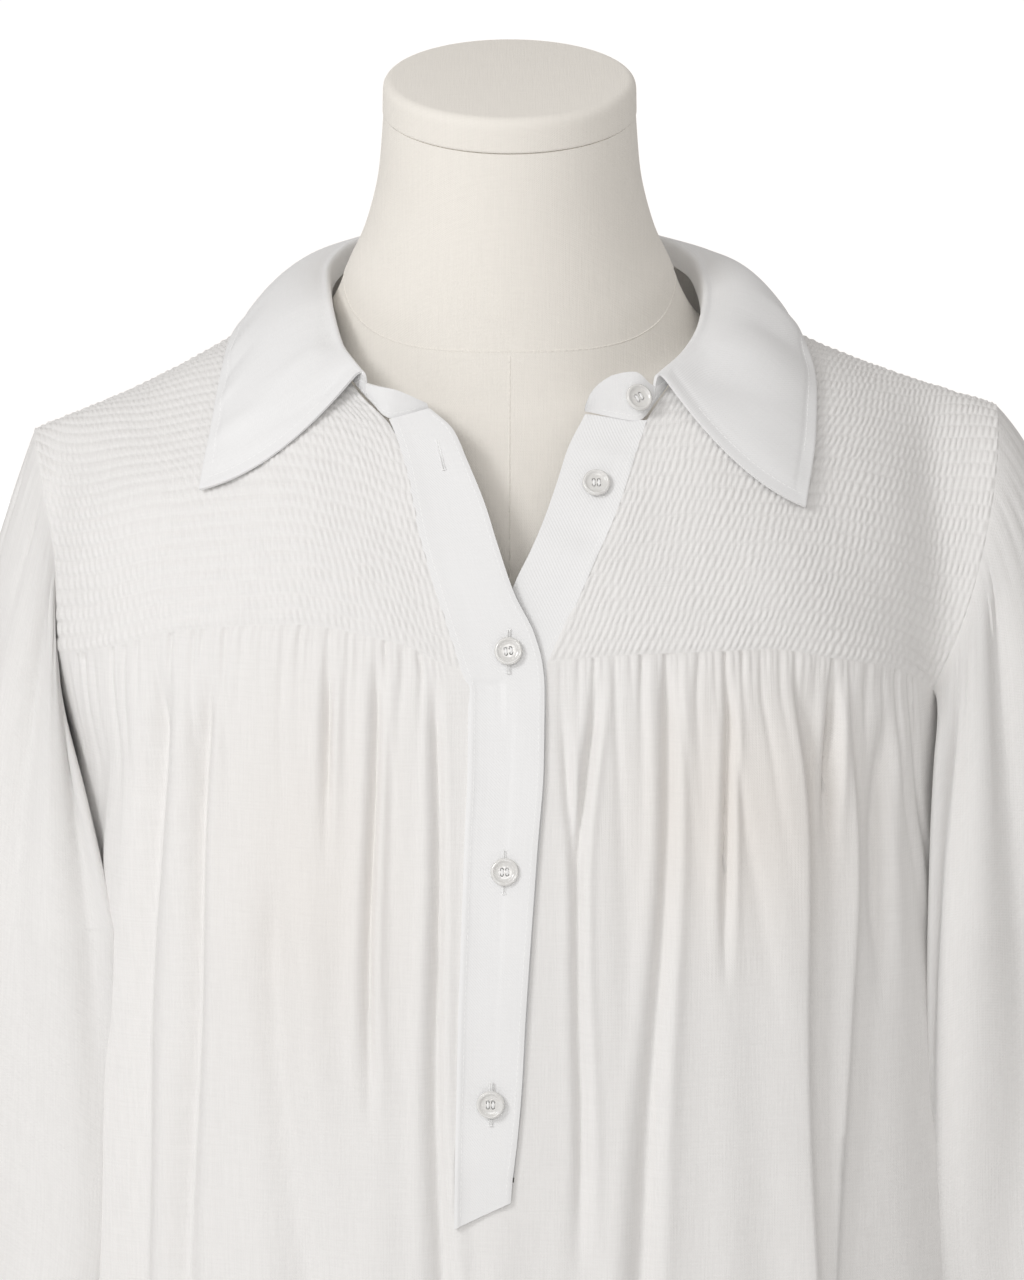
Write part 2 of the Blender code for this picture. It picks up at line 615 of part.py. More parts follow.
def armhole(side):
    """The armhole as a closed loop that starts at the shoulder and runs forward."""
    walk = np.linspace(0, 1, 40)
    angle = ARC * walk
    if side < 0:
        yoke_edge, back_edge, start = ARM_EDGE_WEARER_RIGHT, ARM_EDGE_BACK_RIGHT, -20
        corner, corner_z, back_corner = -19.2, -15.1, -19.3
    else:
        yoke_edge, back_edge, start = ARM_EDGE_WEARER_LEFT, ARM_EDGE_BACK_LEFT, 20
        corner, corner_z, back_corner = 17.8, -16.4, 18.8
    front = yoke_point(edge_x(angle, yoke_edge, start), angle)
    turn, z = panel_top(20, 6, corner, corner_z, 0.0, FRONT_SEAM_Z)
    down_front = ring_point(turn[:7][::-1], z[:7][::-1])[0]
    turn, z = panel_top(20, 5, back_corner, -13.5, 0.0, BACK_SEAM_Z)
    up_back = ring_point(turn[:6], z[:6], False)[0]
    back = yoke_point(edge_x(angle[::-1], back_edge, start, False), angle[::-1], False)
    ahead = np.concatenate([front, down_front])
    behind = np.concatenate([up_back, back])
    loops = []
    for half in (ahead, behind):
        walked = np.concatenate(([0], np.cumsum(np.linalg.norm(np.diff(half, axis=0), axis=1))))
        at = np.linspace(0, walked[-1], SLEEVE_AROUND // 2 + 1)[:-1]
        loops.append(np.stack([np.interp(at, walked, half[:, k]) for k in range(3)], axis=1))
    return np.concatenate(loops)


def sleeve(name, side, reach_out, round_out):
    """One sleeve: a soft head, a loose tube with folds, gathers at both ends."""
    loop = armhole(side)
    psi = np.arange(SLEEVE_AROUND) * 2 * math.pi / SLEEVE_AROUND
    ahead, aside = np.roll(loop, -1, axis=0), np.roll(loop, 1, axis=0)
    tangent = unit((ahead - aside)[:, 1:])
    inward = join(0.0, tangent[:, 1], -tangent[:, 0])
    middle = loop.mean(axis=0)
    inward *= np.sign(np.sum(inward * (middle - loop), axis=1))[:, None]

    def ring(z):
        centre, wide, deep, y, lean, round_ = SLEEVE_RINGS[z]
        outward = np.sign(np.cos(psi)) * np.abs(np.cos(psi)) ** round_
        forward = np.sign(np.sin(psi)) * np.abs(np.sin(psi)) ** round_
        return join(side * (centre + reach_out + wide * outward - lean * forward),
                    y - deep * forward, z)

    start = loop + (side * 0.07, 0, 0)
    end = ring(-26.0)
    rows = [start]
    for t in (0.08, 0.2, 0.38, 0.66, 1.0):
        swing = (1 - round_out) * t + round_out * math.sin(math.pi * t / 2)
        drop = (1 - round_out) * t + round_out * (1 - math.cos(math.pi * t / 2))
        ease_off = side * 0.7 * math.sin(math.pi * t ** 0.6) * (0.55 - 0.45 * np.cos(psi))
        rows.append(join(blend(start[:, 0], end[:, 0], swing) + ease_off,
                         blend(start[:, 1], end[:, 1], t),
                         blend(start[:, 2], end[:, 2], drop)))
    rows += [ring(z) for z in (-33.0, -41.0, -50.0, -56.0, -59.0, -60.0)]
    point = np.array(rows)
    along = np.gradient(point, axis=0)
    across = np.roll(point, -1, axis=1) - np.roll(point, 1, axis=1)
    out = unit(np.cross(across, along))
    out *= np.sign(np.sum(out[6] * (point[6] - point[6].mean(axis=0)), axis=1)).mean()
    out[0] = -inward
    level = np.arange(len(rows))[:, None]
    sign = np.where(np.arange(SLEEVE_AROUND) % 2, 1.0, -1.0)[None, :]
    upper = np.cos(psi)[None, :] > -0.45
    rise = 0.13 * sign * upper * np.array([0, 1, 0.9, 0.6, 0.25] + [0] * 7)[:, None]
    rise = rise + 0.12 * sign * np.array([0] * 8 + [0.1, 0.5, 1, 0])[:, None]
    tube = np.clip((level - 4) / 3, 0, 1) * np.clip((11 - level) / 2, 0, 1)
    inner_side = 0.25 + 0.75 * (np.cos(psi)[None, :] > -0.6)
    rise = rise + 0.32 * tube * inner_side * np.cos(3 * psi[None, :] + 0.25 * level + side)
    point = point + out * rise[..., None]
    wall(name, point, point - CLOTH * out, COTTON, closed=True)


def cuff(name, side, reach_out):
    psi = np.arange(SLEEVE_AROUND) * 2 * math.pi / SLEEVE_AROUND
    flat = join(side * np.cos(psi), -np.sin(psi), 0.0)
    rows = np.array([join(side * (c + reach_out + w * np.cos(psi)), y - d * np.sin(psi), z)
                     for z, c, w, d, y in CUFF_RINGS])
    rows[0, :, 2] -= GAP / 2
    wall(name, rows, rows - CLOTH * flat[None], TWILL, closed=True)


# Collar: a stand around the neck and a leaf folded over it
# Fold of the leaf, from the wearer's right front around the back to the left
# front, its edge, and how far it bows forward and up halfway.

LEAF_FOLD = [(-5.85, -7.75, -2.85), (-6.35, -7.0, -2.35), (-6.8, -5.9, -1.85),
             (-7.4, -3.0, -0.2), (-7.6, 1.0, 0.6), (-6.9, 4.2, 1.35), (-4.6, 6.5, 1.95),
             (0.0, 7.3, 2.2), (4.6, 6.5, 1.95), (7.1, 4.2, 1.4), (7.85, 2.0, 0.9),
             (8.1, -1.3, 0.0), (7.8, -4.5, -1.05), (7.1, -6.2, -2.05), (5.9, -7.75, -2.95)]
LEAF_EDGE = [(-12.83, -8.13, -7.5), (-12.66, -7.31, -6.4), (-12.42, -6.2, -5.1),
             (-12.15, -4.2, -3.35), (-11.8, -1.2, -1.85), (-11.0, 3.2, -1.3),
             (-7.6, 7.9, -2.0), (0.0, 9.7, -2.8), (7.6, 7.9, -2.0), (11.2, 3.6, -1.2),
             (12.1, 0.8, -1.4), (12.5, -1.8, -2.05), (12.86, -4.2, -3.55),
             (12.72, -6.5, -5.5), (12.22, -8.65, -8.15)]
LEAF_BOW = [(-0.62, -0.78), (-0.55, -0.1), (-0.3, 0.5), (0, 0.7), (0, 0.8), (0.1, 0.75),
            (0.35, 0.65), (0.5, 0.6), (0.35, 0.65), (0.1, 0.75), (0, 0.95), (0, 0.95),
            (-0.1, 0.75), (-0.45, 0.15), (-0.6, -0.72)]
STAND_ENDS = {"right": ((-3.3, -4.28, -3.4, -8.0, -3.95), (-4.85, -4.55, -4.8, -8.15, -3.35)),
              "left": ((5.2, -4.66, 5.1, -8.15, -3.2), (3.2, -4.28, 3.35, -8.2, -3.75))}
STAND_FOOT_RIGHT = (-4.0, -3.2, -2.4, -0.85)
STAND_FOOT_BACK = (-8.7, -8.1, -5.0, 0.0, 5.0, 8.1, 8.7)
STAND_FOOT_LEFT = (-0.35, -1.35, -2.45, -3.95)


def stations(table, count):
    """Even steps through a table of stations."""
    place = np.linspace(0, 1, len(table))
    at = np.linspace(0, 1, count)
    table = np.array(table, float).reshape(len(table), -1)
    return np.stack([smooth(at, list(zip(place, column))) for column in table.T], axis=1)


def leaf_outward():
    fold, edge = np.array(LEAF_FOLD), np.array(LEAF_EDGE)
    return unit((edge - fold) * (1, 1, 0))


def stand_tables():
    """Foot and top of the collar stand at every station."""
    foot, top = [], []
    for x, z, top_x, top_y, top_z in STAND_ENDS["right"]:
        foot.append((x, float(front_y(np.array(x), np.array(z))), z))
        top.append((top_x, top_y, top_z))
    for z in STAND_FOOT_RIGHT:
        x = float(smooth(np.array(z), OPEN_EDGE_WEARER_RIGHT)) + GAP
        foot.append((x, float(front_y(np.array(x), np.array(z))), z + 0.1))
    for x in STAND_FOOT_BACK:
        y = float(smooth(np.array(abs(x)), NECK_Y)) - GAP
        foot.append((x, y, float(yoke_height(np.array(x), np.array(y + GAP))) + 0.12))
    for z in STAND_FOOT_LEFT:
        x = float(smooth(np.array(z), OPEN_EDGE_WEARER_LEFT)) - GAP
        foot.append((x, float(front_y(np.array(x), np.array(z))), z + 0.1))
    below = np.array(LEAF_FOLD) + leaf_outward() * 0.15 - (0, 0, 0.3)
    top += [tuple(p) for p in below]
    for x, z, top_x, top_y, top_z in STAND_ENDS["left"]:
        foot.append((x, float(front_y(np.array(x), np.array(z))), z))
        top.append((top_x, top_y, top_z))
    return foot, top


def collar_stand():
    count = 26
    foot, top = stand_tables()
    foot, top = stations(foot, count), stations(top, count)
    point = np.array([blend(foot, top, s) for s in (0.0, 0.5, 1.0)])
    out = unit(np.cross(np.gradient(foot, axis=0)[None], (top - foot)[None]))
    out = np.repeat(out, 3, axis=0)
    out *= np.sign(np.sum(out * (point - (0, 0.5, 0)) * (1, 1, 0), axis=-1))[..., None]
    wall("collar_stand", point, point - CLOTH * out, TWILL)


def collar_leaf():
    """The leaf: up from the stand, over a soft roll and out to its edge."""
    count = 25
    fold, edge = stations(LEAF_FOLD, count), stations(LEAF_EDGE, count)
    bow = stations(LEAF_BOW, count)
    flat = unit((edge - fold) * (1, 1, 0))
    roll = 0.24
    rows = [fold - (0, 0, 0.06), fold + (0, 0, 0.1) + flat * 0.05,
            fold + (0, 0, 0.24) + flat * roll]
    start = fold + (0, 0, 0.14) + flat * (2 * roll)
    rows.append(start)
    for s in (0.22, 0.48, 0.74, 1.0):
        p = blend(start, edge, s)
        p[:, 1:] += bow * 4 * s * (1 - s)
        rows.append(p)
    point = np.array(rows)
    out = unit(np.cross(np.gradient(point, axis=1), np.gradient(point, axis=0)))
    out *= np.sign(out[-2, :, 2].mean())
    wall("collar_leaf", point, point - 0.14 * out, TWILL)


# Buttons: a rimmed disc with four thread holes

BUTTON_RADIUS = 0.575
BUTTON_PROFILE = [(0.46, 0.0), (0.575, 0.09), (0.53, 0.23), (0.45, 0.23), (0.37, 0.16)]
BUTTON_PLACES = {"button_collar": (5.2, -3.62, 0.17), "button_band_upper": (3.55, -7.05, -0.05),
                 "button_band_second": (-0.05, -13.6, BAND_LIFT * 0.75),
                 "button_band_third": (-0.2, -22.3, BAND_LIFT * 0.55),
                 "button_band_fourth": (-0.77, -31.7, BAND_LIFT * 0.8)}


def button(name, centre, out):
    """Revolve the rim, then cut four small holes through the floor."""
    around = 12
    turn = np.arange(around) * 2 * math.pi / around
    rings = np.array([join(r * np.cos(turn), r * np.sin(turn), h) for r, h in BUTTON_PROFILE])
    made = stack(name, rings, PEARL)
    out = unit(np.asarray(out, float))
    side = unit(np.cross((0.0, 0.0, 1.0), out))
    frame = np.stack([side, np.cross(out, side), out], axis=1)
    cutter = bmesh.new()
    for k in range(4):
        a = math.pi / 4 + k * math.pi / 2
        made_ring = bmesh.ops.create_cone(cutter, cap_ends=True, segments=4, radius1=0.0007,
                                          radius2=0.0007, depth=0.01)
        bmesh.ops.translate(cutter, verts=made_ring["verts"],
                            vec=(0.0014 * math.cos(a), 0.0014 * math.sin(a), 0.001))
    tool_mesh = bpy.data.meshes.new("holes")
    cutter.to_mesh(tool_mesh)
    cutter.free()
    tool = bpy.data.objects.new("holes", tool_mesh)
    bpy.context.scene.collection.objects.link(tool)
    cut = made.modifiers.new("holes", "BOOLEAN")
    cut.operation, cut.solver, cut.object = "DIFFERENCE", "EXACT", tool
    bpy.context.view_layer.update()
    done = bpy.data.meshes.new_from_object(made.evaluated_get(
        bpy.context.evaluated_depsgraph_get()))
    made.modifiers.clear()
    made.data = done
    bpy.data.objects.remove(tool, do_unlink=True)
    bottom = np.asarray(centre, float) + (0, 0, NECK_POINT)
    for v in done.vertices:
        v.co = frame @ np.array(v.co) + bottom * CM


def place_buttons():
    for name, (x, z, lift) in BUTTON_PLACES.items():
        place = join(x, front_y(np.array(x), np.array(z)), z)
        out = front_normal(np.array(x), np.array(z))
        if name == "button_collar":
            out = unit(np.array((0.35, -0.85, 0.4)))
            place = np.array((5.2, -8.14, -3.66))
        button(name, place + out * (lift + 2 * GAP), out)
    for name, side, reach_out in (("button_cuff_right", -1, 0.0), ("button_cuff_left", 1, 1.0)):
        angle = math.radians(50.0)
        wide, deep = 2.8, 4.1
        out = unit(np.array((side * deep * math.cos(angle), -wide * math.sin(angle), 0.0)))
        place = np.array((side * (24.9 + reach_out + wide * math.cos(angle)),
                          -2.55 - deep * math.sin(angle), -63.0))
        button(name, place + out * 0.06, out)


# The dress form: saddle-shaped rings from the hip to the neck
# Columns: half width, side height, front y, front height, back y, back height, side y

FORM_RINGS = [
    (16.2, -66.0, -9.8, -66.0, 11.2, -66.0, 0.5), (17.0, -65.2, -10.5, -65.2, 12.0, -65.2, 0.5),
    (17.3, -60.0, -10.8, -60.0, 12.5, -60.0, 0.5), (15.6, -52.0, -10.0, -52.0, 10.5, -52.0, 0.3),
    (12.6, -42.0, -8.8, -42.0, 7.5, -42.0, 0.0), (13.8, -34.0, -10.5, -34.0, 8.5, -34.0, 0.0),
    (15.3, -26.0, -13.0, -26.0, 10.0, -26.0, 0.0), (16.0, -20.0, -12.4, -20.0, 10.8, -19.0, 0.2),
    (17.3, -14.0, -11.3, -16.0, 10.3, -14.0, 0.4), (18.2, -9.4, -10.1, -12.5, 9.5, -9.0, 0.5),
    (18.2, -7.1, -9.2, -10.0, 8.6, -7.0, 0.5), (16.6, -5.03, -8.3, -8.0, 7.7, -5.0, 0.4),
    (13.6, -3.41, -7.6, -6.3, 6.9, -3.0, 0.3), (10.2, -2.05, -7.15, -4.8, 6.3, -1.2, 0.2),
    (8.2, -1.2, -6.9, -3.9, 6.1, 0.1, 0.0), (7.3, 0.1, -6.75, -2.7, 5.6, 1.1, -0.4),
    (6.8, 1.4, -6.7, -1.4, 5.0, 2.2, -0.8),
    (6.1, 2.9, -6.8, 0.6, 4.3, 3.8, -1.25), (5.5, 5.3, -7.1, 3.4, 3.6, 6.4, -1.75),
    (5.28, 7.75, -7.6, 6.25, 2.6, 9.15, -2.5)]
CAP_TILT = math.radians(16.0)


def form_body():
    around = 24
    turn = np.arange(around) * 2 * math.pi / around
    rings = []
    for row, (half, side_z, fy, fz, by, bz, side_y) in enumerate(FORM_RINGS):
        bend = 1.6 - 0.6 * ease((row - 14) / 4)
        sine = np.sin(turn)
        reach = np.abs(sine)
        ahead = sine < 0
        y = side_y + np.where(ahead, fy - side_y, by - side_y) * reach
        z = side_z + np.where(ahead, fz - side_z, bz - side_z) * reach ** bend
        rings.append(join(half * np.cos(turn), y, z + NECK_POINT))
    stack("form_body", np.array(rings), JERSEY)


def form_cap():
    around = 24
    turn = np.arange(around) * 2 * math.pi / around
    axis = np.array((0.0, -math.sin(CAP_TILT), math.cos(CAP_TILT)))
    level = np.array((0.0, math.cos(CAP_TILT), math.sin(CAP_TILT)))
    foot = np.array((0.0, -2.5, 7.75 + NECK_POINT))
    rings = []
    for radius, up in ((5.24, 0.05), (5.30, 0.12), (5.30, 1.0), (5.1, 1.32), (4.5, 1.5),
                       (2.4, 1.54)):
        rings.append(foot + axis * up + radius * (np.cos(turn)[:, None] * (1.0, 0.0, 0.0)
                                                  + np.sin(turn)[:, None] * level))
    stack("form_cap", np.array(rings), JERSEY)


def counter_stand():
    around = 28
    turn = np.arange(around) * 2 * math.pi / around

    def lathe(name, profile):
        rings = [join(r * np.cos(turn), r * np.sin(turn) + 0.5, h) for r, h in profile]
        shift = np.array(rings) - (0.0, 0.5, 0.0)
        stack(name, shift, METAL)

    lathe("stand_base", ((14.7, 0.0), (15.0, 0.15), (15.0, 0.95), (14.8, 1.2), (3.4, 1.3),
                         (1.9, 1.9)))
    lathe("stand_pole", ((1.2, 1.94), (1.2, NECK_POINT - 66.9), (2.6, NECK_POINT - 66.7),
                         (2.6, NECK_POINT - 66.04)))


form_body()
form_cap()
counter_stand()
front_yoke("yoke_front_right", ARM_EDGE_WEARER_RIGHT, OPEN_EDGE_WEARER_RIGHT, -19, -4, 1)
front_yoke("yoke_front_left", ARM_EDGE_WEARER_LEFT, OPEN_EDGE_WEARER_LEFT, 19, 4, -1)
back_yoke()
front_panel()
back_panel()
placket_band("placket_over", OVER_EDGES, True)
placket_band("placket_under", UNDER_EDGES, False)
sleeve("sleeve_right", -1, 0.0, 0.15)
sleeve("sleeve_left", 1, 1.0, 0.6)
cuff("cuff_right", -1, 0.0)
cuff("cuff_left", 1, 1.0)
collar_stand()
collar_leaf()
place_buttons()
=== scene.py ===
"""Looks of the cotton tunic blouse on its limbless dress form.

Every cloth piece is a closed thin shell: a fine outer grid that carries the
smocking, gathers and folds, and a plainer inner grid.  Tables are in
centimetres, with heights measured from the height of the neck point.
+X is the viewer's right, -Y the front, +Z up.
"""
import math

import bmesh
import bpy
import numpy as np
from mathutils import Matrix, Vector


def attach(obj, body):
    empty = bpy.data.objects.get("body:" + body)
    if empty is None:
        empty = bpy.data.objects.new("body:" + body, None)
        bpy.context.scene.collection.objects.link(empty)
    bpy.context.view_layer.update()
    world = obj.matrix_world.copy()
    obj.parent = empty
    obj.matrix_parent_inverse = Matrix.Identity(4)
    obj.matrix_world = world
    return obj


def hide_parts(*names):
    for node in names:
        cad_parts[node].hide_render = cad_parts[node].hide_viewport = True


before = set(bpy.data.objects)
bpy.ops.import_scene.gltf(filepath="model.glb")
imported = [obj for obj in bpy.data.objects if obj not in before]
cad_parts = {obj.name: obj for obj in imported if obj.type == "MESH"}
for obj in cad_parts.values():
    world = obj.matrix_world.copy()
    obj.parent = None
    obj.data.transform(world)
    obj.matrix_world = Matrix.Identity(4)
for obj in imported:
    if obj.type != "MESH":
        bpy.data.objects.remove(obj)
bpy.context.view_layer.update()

CM = 0.01
NECK_POINT = 88.0          # height of the neck point above the floor
COTTON_WALL = 0.10         # thickness of the thin cotton's shells
TWILL_WALL = 0.12          # thickness of the bands, collar and cuffs
GAP = 0.03                 # clear distance where two pieces meet at a seam


# Small helpers for curves


def smooth(value, knots):
    """Monotone cubic curve through (place, value) knots, held at both ends."""
    knots = np.array(sorted(knots), float)
    place, level = knots[:, 0], knots[:, 1]
    step = np.diff(place)
    slope = np.diff(level) / step
    before, after = slope[:-1], slope[1:]
    total = before + after
    safe = np.where(np.abs(total) > 1e-12, total, 1.0)
    middle = np.where(before * after > 0, 2 * before * after / safe, 0.0)
    tangent = np.concatenate(([slope[0]], middle, [slope[-1]]))
    at = np.clip(value, place[0], place[-1])
    low = np.clip(np.searchsorted(place, at, side="right") - 1, 0, len(step) - 1)
    s = (at - place[low]) / step[low]
    return ((1 + 2 * s) * (1 - s) ** 2 * level[low]
            + s * (1 - s) ** 2 * step[low] * tangent[low]
            + s * s * (3 - 2 * s) * level[low + 1]
            + s * s * (s - 1) * step[low] * tangent[low + 1])


def blend(a, b, share):
    return a + (b - a) * share


def ease(value):
    """Smooth step from 0 to 1, held outside."""
    v = np.clip(value, 0.0, 1.0)
    return v * v * (3 - 2 * v)


def unit(vectors):
    size = np.linalg.norm(vectors, axis=-1, keepdims=True)
    return vectors / np.maximum(size, 1e-12)


def join(x, y, z):
    x, y, z = np.broadcast_arrays(x, y, z)
    return np.stack([x, y, z], axis=-1).astype(float)

# The body of the blouse as rings of a rounded box in plan

SIDE_Y = 0.5
BOXINESS = 2.35
HALF_WEARER_RIGHT = [(-10, 20.4), (-12, 20.2), (-16, 19.6), (-20, 18.8), (-24, 18.7),
                     (-32, 19.0), (-41, 19.5), (-60, 20.4), (-72.5, 21.0)]
HALF_WEARER_LEFT = [(-10, 20.4), (-12, 20.2), (-16, 19.0), (-20, 19.1), (-24, 19.5),
                    (-32, 20.2), (-41, 20.9), (-60, 21.9), (-72.5, 23.0)]
FRONT_Y = [(-10, -11.6), (-12, -12.1), (-13.5, -12.5), (-20, -14.2), (-26, -15.3),
           (-41, -15.8), (-60, -16.4), (-72.5, -17.0)]
BACK_Y = [(-10, 10.3), (-12, 11.0), (-24, 13.0), (-41, 14.0), (-60, 15.0), (-72.5, 16.0)]
HEM = -72.5


def half_width(x, z):
    return np.where(x < 0, smooth(z, HALF_WEARER_RIGHT), smooth(z, HALF_WEARER_LEFT))


def body_y(x, z, front=True):
    """Depth of the body ring at a width and height."""
    reach = np.clip(np.abs(x) / half_width(x, z), 0, 1)
    depth = smooth(z, FRONT_Y if front else BACK_Y) - SIDE_Y
    return SIDE_Y + depth * (1 - reach ** BOXINESS) ** (1 / BOXINESS)


def turn_of(x, z):
    """Turn around the ring, 0 at the middle and a quarter turn at the side."""
    reach = np.clip(np.abs(x) / half_width(x, z), 0, 1)
    return np.sign(x) * np.arcsin(reach ** (BOXINESS / 2))


def ring_point(turn, z, front=True):
    """Point on the body ring and its level outward direction."""
    half = half_width(turn, z)
    depth = smooth(z, FRONT_Y if front else BACK_Y) - SIDE_Y
    sine = np.abs(np.sin(turn)) ** (2 / BOXINESS)
    cosine = np.abs(np.cos(turn)) ** (2 / BOXINESS)
    point = join(np.sign(turn) * half * sine, SIDE_Y + depth * cosine, z)
    out = join(np.sign(turn) * sine ** (BOXINESS - 1) / half,
               cosine ** (BOXINESS - 1) / depth, 0 * z)
    return point, unit(out)


# The yoke as arcs that run from the yoke seam over to the shoulder

RIDGE_Y = 0.9
ARC = math.radians(70.0)
RIDGE_Z = [(-20.9, -6.3), (-20.4, -6.1), (-16, -4.3), (-12, -2.2), (-8.8, -0.2), (-8.2, 0.3),
           (-7, 0.5), (7, 0.5), (8.2, 0.3), (8.8, -0.2), (12.4, -2.05), (16, -3.5),
           (20.9, -5.05)]
FRONT_SEAM_Z = [(-19.2, -15.1), (-16.5, -14.1), (-13.25, -13.1), (-8.64, -12.65),
                (-4.55, -13.3), (-1.9, -14.25), (0, -14.2), (1.46, -14.0), (5.2, -13.75),
                (10.4, -13.7), (13.25, -14.25), (16.2, -15.1), (17.8, -16.4)]
FRONT_CORNER = (-19.2, 17.8)
BACK_RISE = [(0, 6.7), (2.5, 6.1), (5, 4.4), (7.2, 2.6), (8.8, 1.4), (10.5, 0.7), (14, 0.0)]
BACK_RISE_ANGLE = math.radians(32.0)
BACK_SEAM_Z = [(-19.3, -13.5), (-10, -12.3), (0, -11.8), (10, -12.3), (18.8, -13.5)]
BACK_CORNER = (-19.3, 18.8)
NECK_X = 8.8
NECK_Y = [(0, 7.7), (2.5, 7.5), (5.0, 6.8), (7.0, 5.6), (8.0, 4.2), (8.5, 2.8), (8.8, 0.9)]


def arc_top(x, angle, front=True):
    """Height an arc starts from; behind, it rises towards the back of the neck."""
    level = smooth(x, RIDGE_Z)
    if front:
        return level
    return level + smooth(np.abs(x), BACK_RISE) * ease(angle / BACK_RISE_ANGLE)


def yoke_foot(x, front=True):
    """Depth and height where the arc at this width meets the yoke seam."""
    corner = FRONT_CORNER if front else BACK_CORNER
    held = np.clip(x, *corner)
    foot_z = smooth(held, FRONT_SEAM_Z if front else BACK_SEAM_Z)
    return body_y(held, foot_z, front), foot_z


def yoke_point(x, angle, front=True):
    """Point of the arc at a width; angle 0 is the shoulder, ARC the yoke seam."""
    foot_y, foot_z = yoke_foot(x, front)
    top = arc_top(x, angle, front)
    y = RIDGE_Y + (foot_y - RIDGE_Y) * np.sin(angle) / math.sin(ARC)
    z = top - (top - foot_z) * (1 - np.cos(angle)) / (1 - math.cos(ARC))
    return join(x, y, z)


def yoke_normal(x, angle, front=True):
    across = yoke_point(x + 0.15, angle, front) - yoke_point(x - 0.15, angle, front)
    along = yoke_point(x, angle - 0.01, front) - yoke_point(x, angle + 0.01, front)
    out = unit(np.cross(across, along))
    return out if front else -out


def yoke_height(x, y):
    """Height of the yoke above a place in plan, front or back."""
    front = np.asarray(y) < RIDGE_Y
    level = []
    for side in (True, False):
        foot_y, foot_z = yoke_foot(x, side)
        sine = np.clip((y - RIDGE_Y) / (foot_y - RIDGE_Y), 0, 1) * math.sin(ARC)
        drop = (1 - np.sqrt(1 - sine * sine)) / (1 - math.cos(ARC))
        top = arc_top(x, np.arcsin(sine), side)
        level.append(top - (top - foot_z) * drop)
    return np.where(front, level[0], level[1])


def front_y(x, z):
    """Depth of the blouse front at a width and height, yoke or panel."""
    foot_y, foot_z = yoke_foot(x, True)
    top = arc_top(x, 0.0)
    drop = np.clip((top - z) / (top - foot_z), 0, 1) * (1 - math.cos(ARC))
    arc = RIDGE_Y + (foot_y - RIDGE_Y) * np.sqrt(1 - (1 - drop) ** 2) / math.sin(ARC)
    return np.where(z > foot_z, arc, body_y(x, z))


def front_normal(x, z):
    step = 0.2
    over = (front_y(x + step, z) - front_y(x - step, z)) / (2 * step)
    up = (front_y(x, z + step) - front_y(x, z - step)) / (2 * step)
    return unit(join(over, -1.0, up))


def even_angle(share):
    """Arc angle for an even walk from the yoke seam (0) to the shoulder (1)."""
    angle = np.linspace(ARC, 0, 200)
    y = 13.0 * np.sin(angle) / math.sin(ARC)
    z = 12.0 * np.cos(angle) / (1 - math.cos(ARC))
    walked = np.concatenate(([0], np.cumsum(np.hypot(np.diff(y), np.diff(z)))))
    return np.interp(share, walked / walked[-1], angle)


# Edges of the yoke: towards the placket and neck, and towards the armhole

OPEN_EDGE_WEARER_RIGHT = [(-14.25, -1.9), (-11.7, -2.75), (-9.4, -3.5), (-6.3, -4.2),
                          (-4.9, -4.85), (-3.6, -6.2), (-1.5, -7.9), (-0.2, -8.8)]
OPEN_EDGE_WEARER_LEFT = [(-14.0, 1.55), (-11.1, 2.9), (-8.1, 4.3), (-4.9, 5.5),
                         (-3.6, 6.4), (-1.5, 8.0), (-0.2, 8.8)]
ARM_EDGE_WEARER_RIGHT = [(-15.1, -19.2), (-11.7, -19.25), (-8.5, -19.8), (-6.1, -20.4)]
ARM_EDGE_WEARER_LEFT = [(-16.4, 17.8), (-13.5, 19.1), (-10.9, 19.9), (-7.5, 20.6),
                        (-5.05, 20.9)]
ARM_EDGE_BACK_RIGHT = [(-13.5, -19.3), (-10, -19.5), (-8, -19.9), (-6.1, -20.4)]
ARM_EDGE_BACK_LEFT = [(-13.5, 18.8), (-10, 19.8), (-7.5, 20.5), (-5.05, 20.9)]


def edge_x(angle, edge, start, front=True):
    """Width at which the arc angle meets an edge given as (height, width)."""
    x = np.full(np.shape(angle), float(start))
    for _ in range(60):
        x = 0.5 * x + 0.5 * smooth(yoke_point(x, angle, front)[..., 2], edge)
    return x


def neck_angle(x):
    """Arc angle of the back yoke's top edge: the neckline between the shoulders."""
    foot_y, _ = yoke_foot(x, False)
    reach = (smooth(np.abs(x), NECK_Y) - RIDGE_Y) / (foot_y - RIDGE_Y)
    return np.where(np.abs(x) < NECK_X, np.arcsin(np.clip(reach, 0, 1) * math.sin(ARC)), 0.0)


# The placket: edges of the upper band and of the band below it

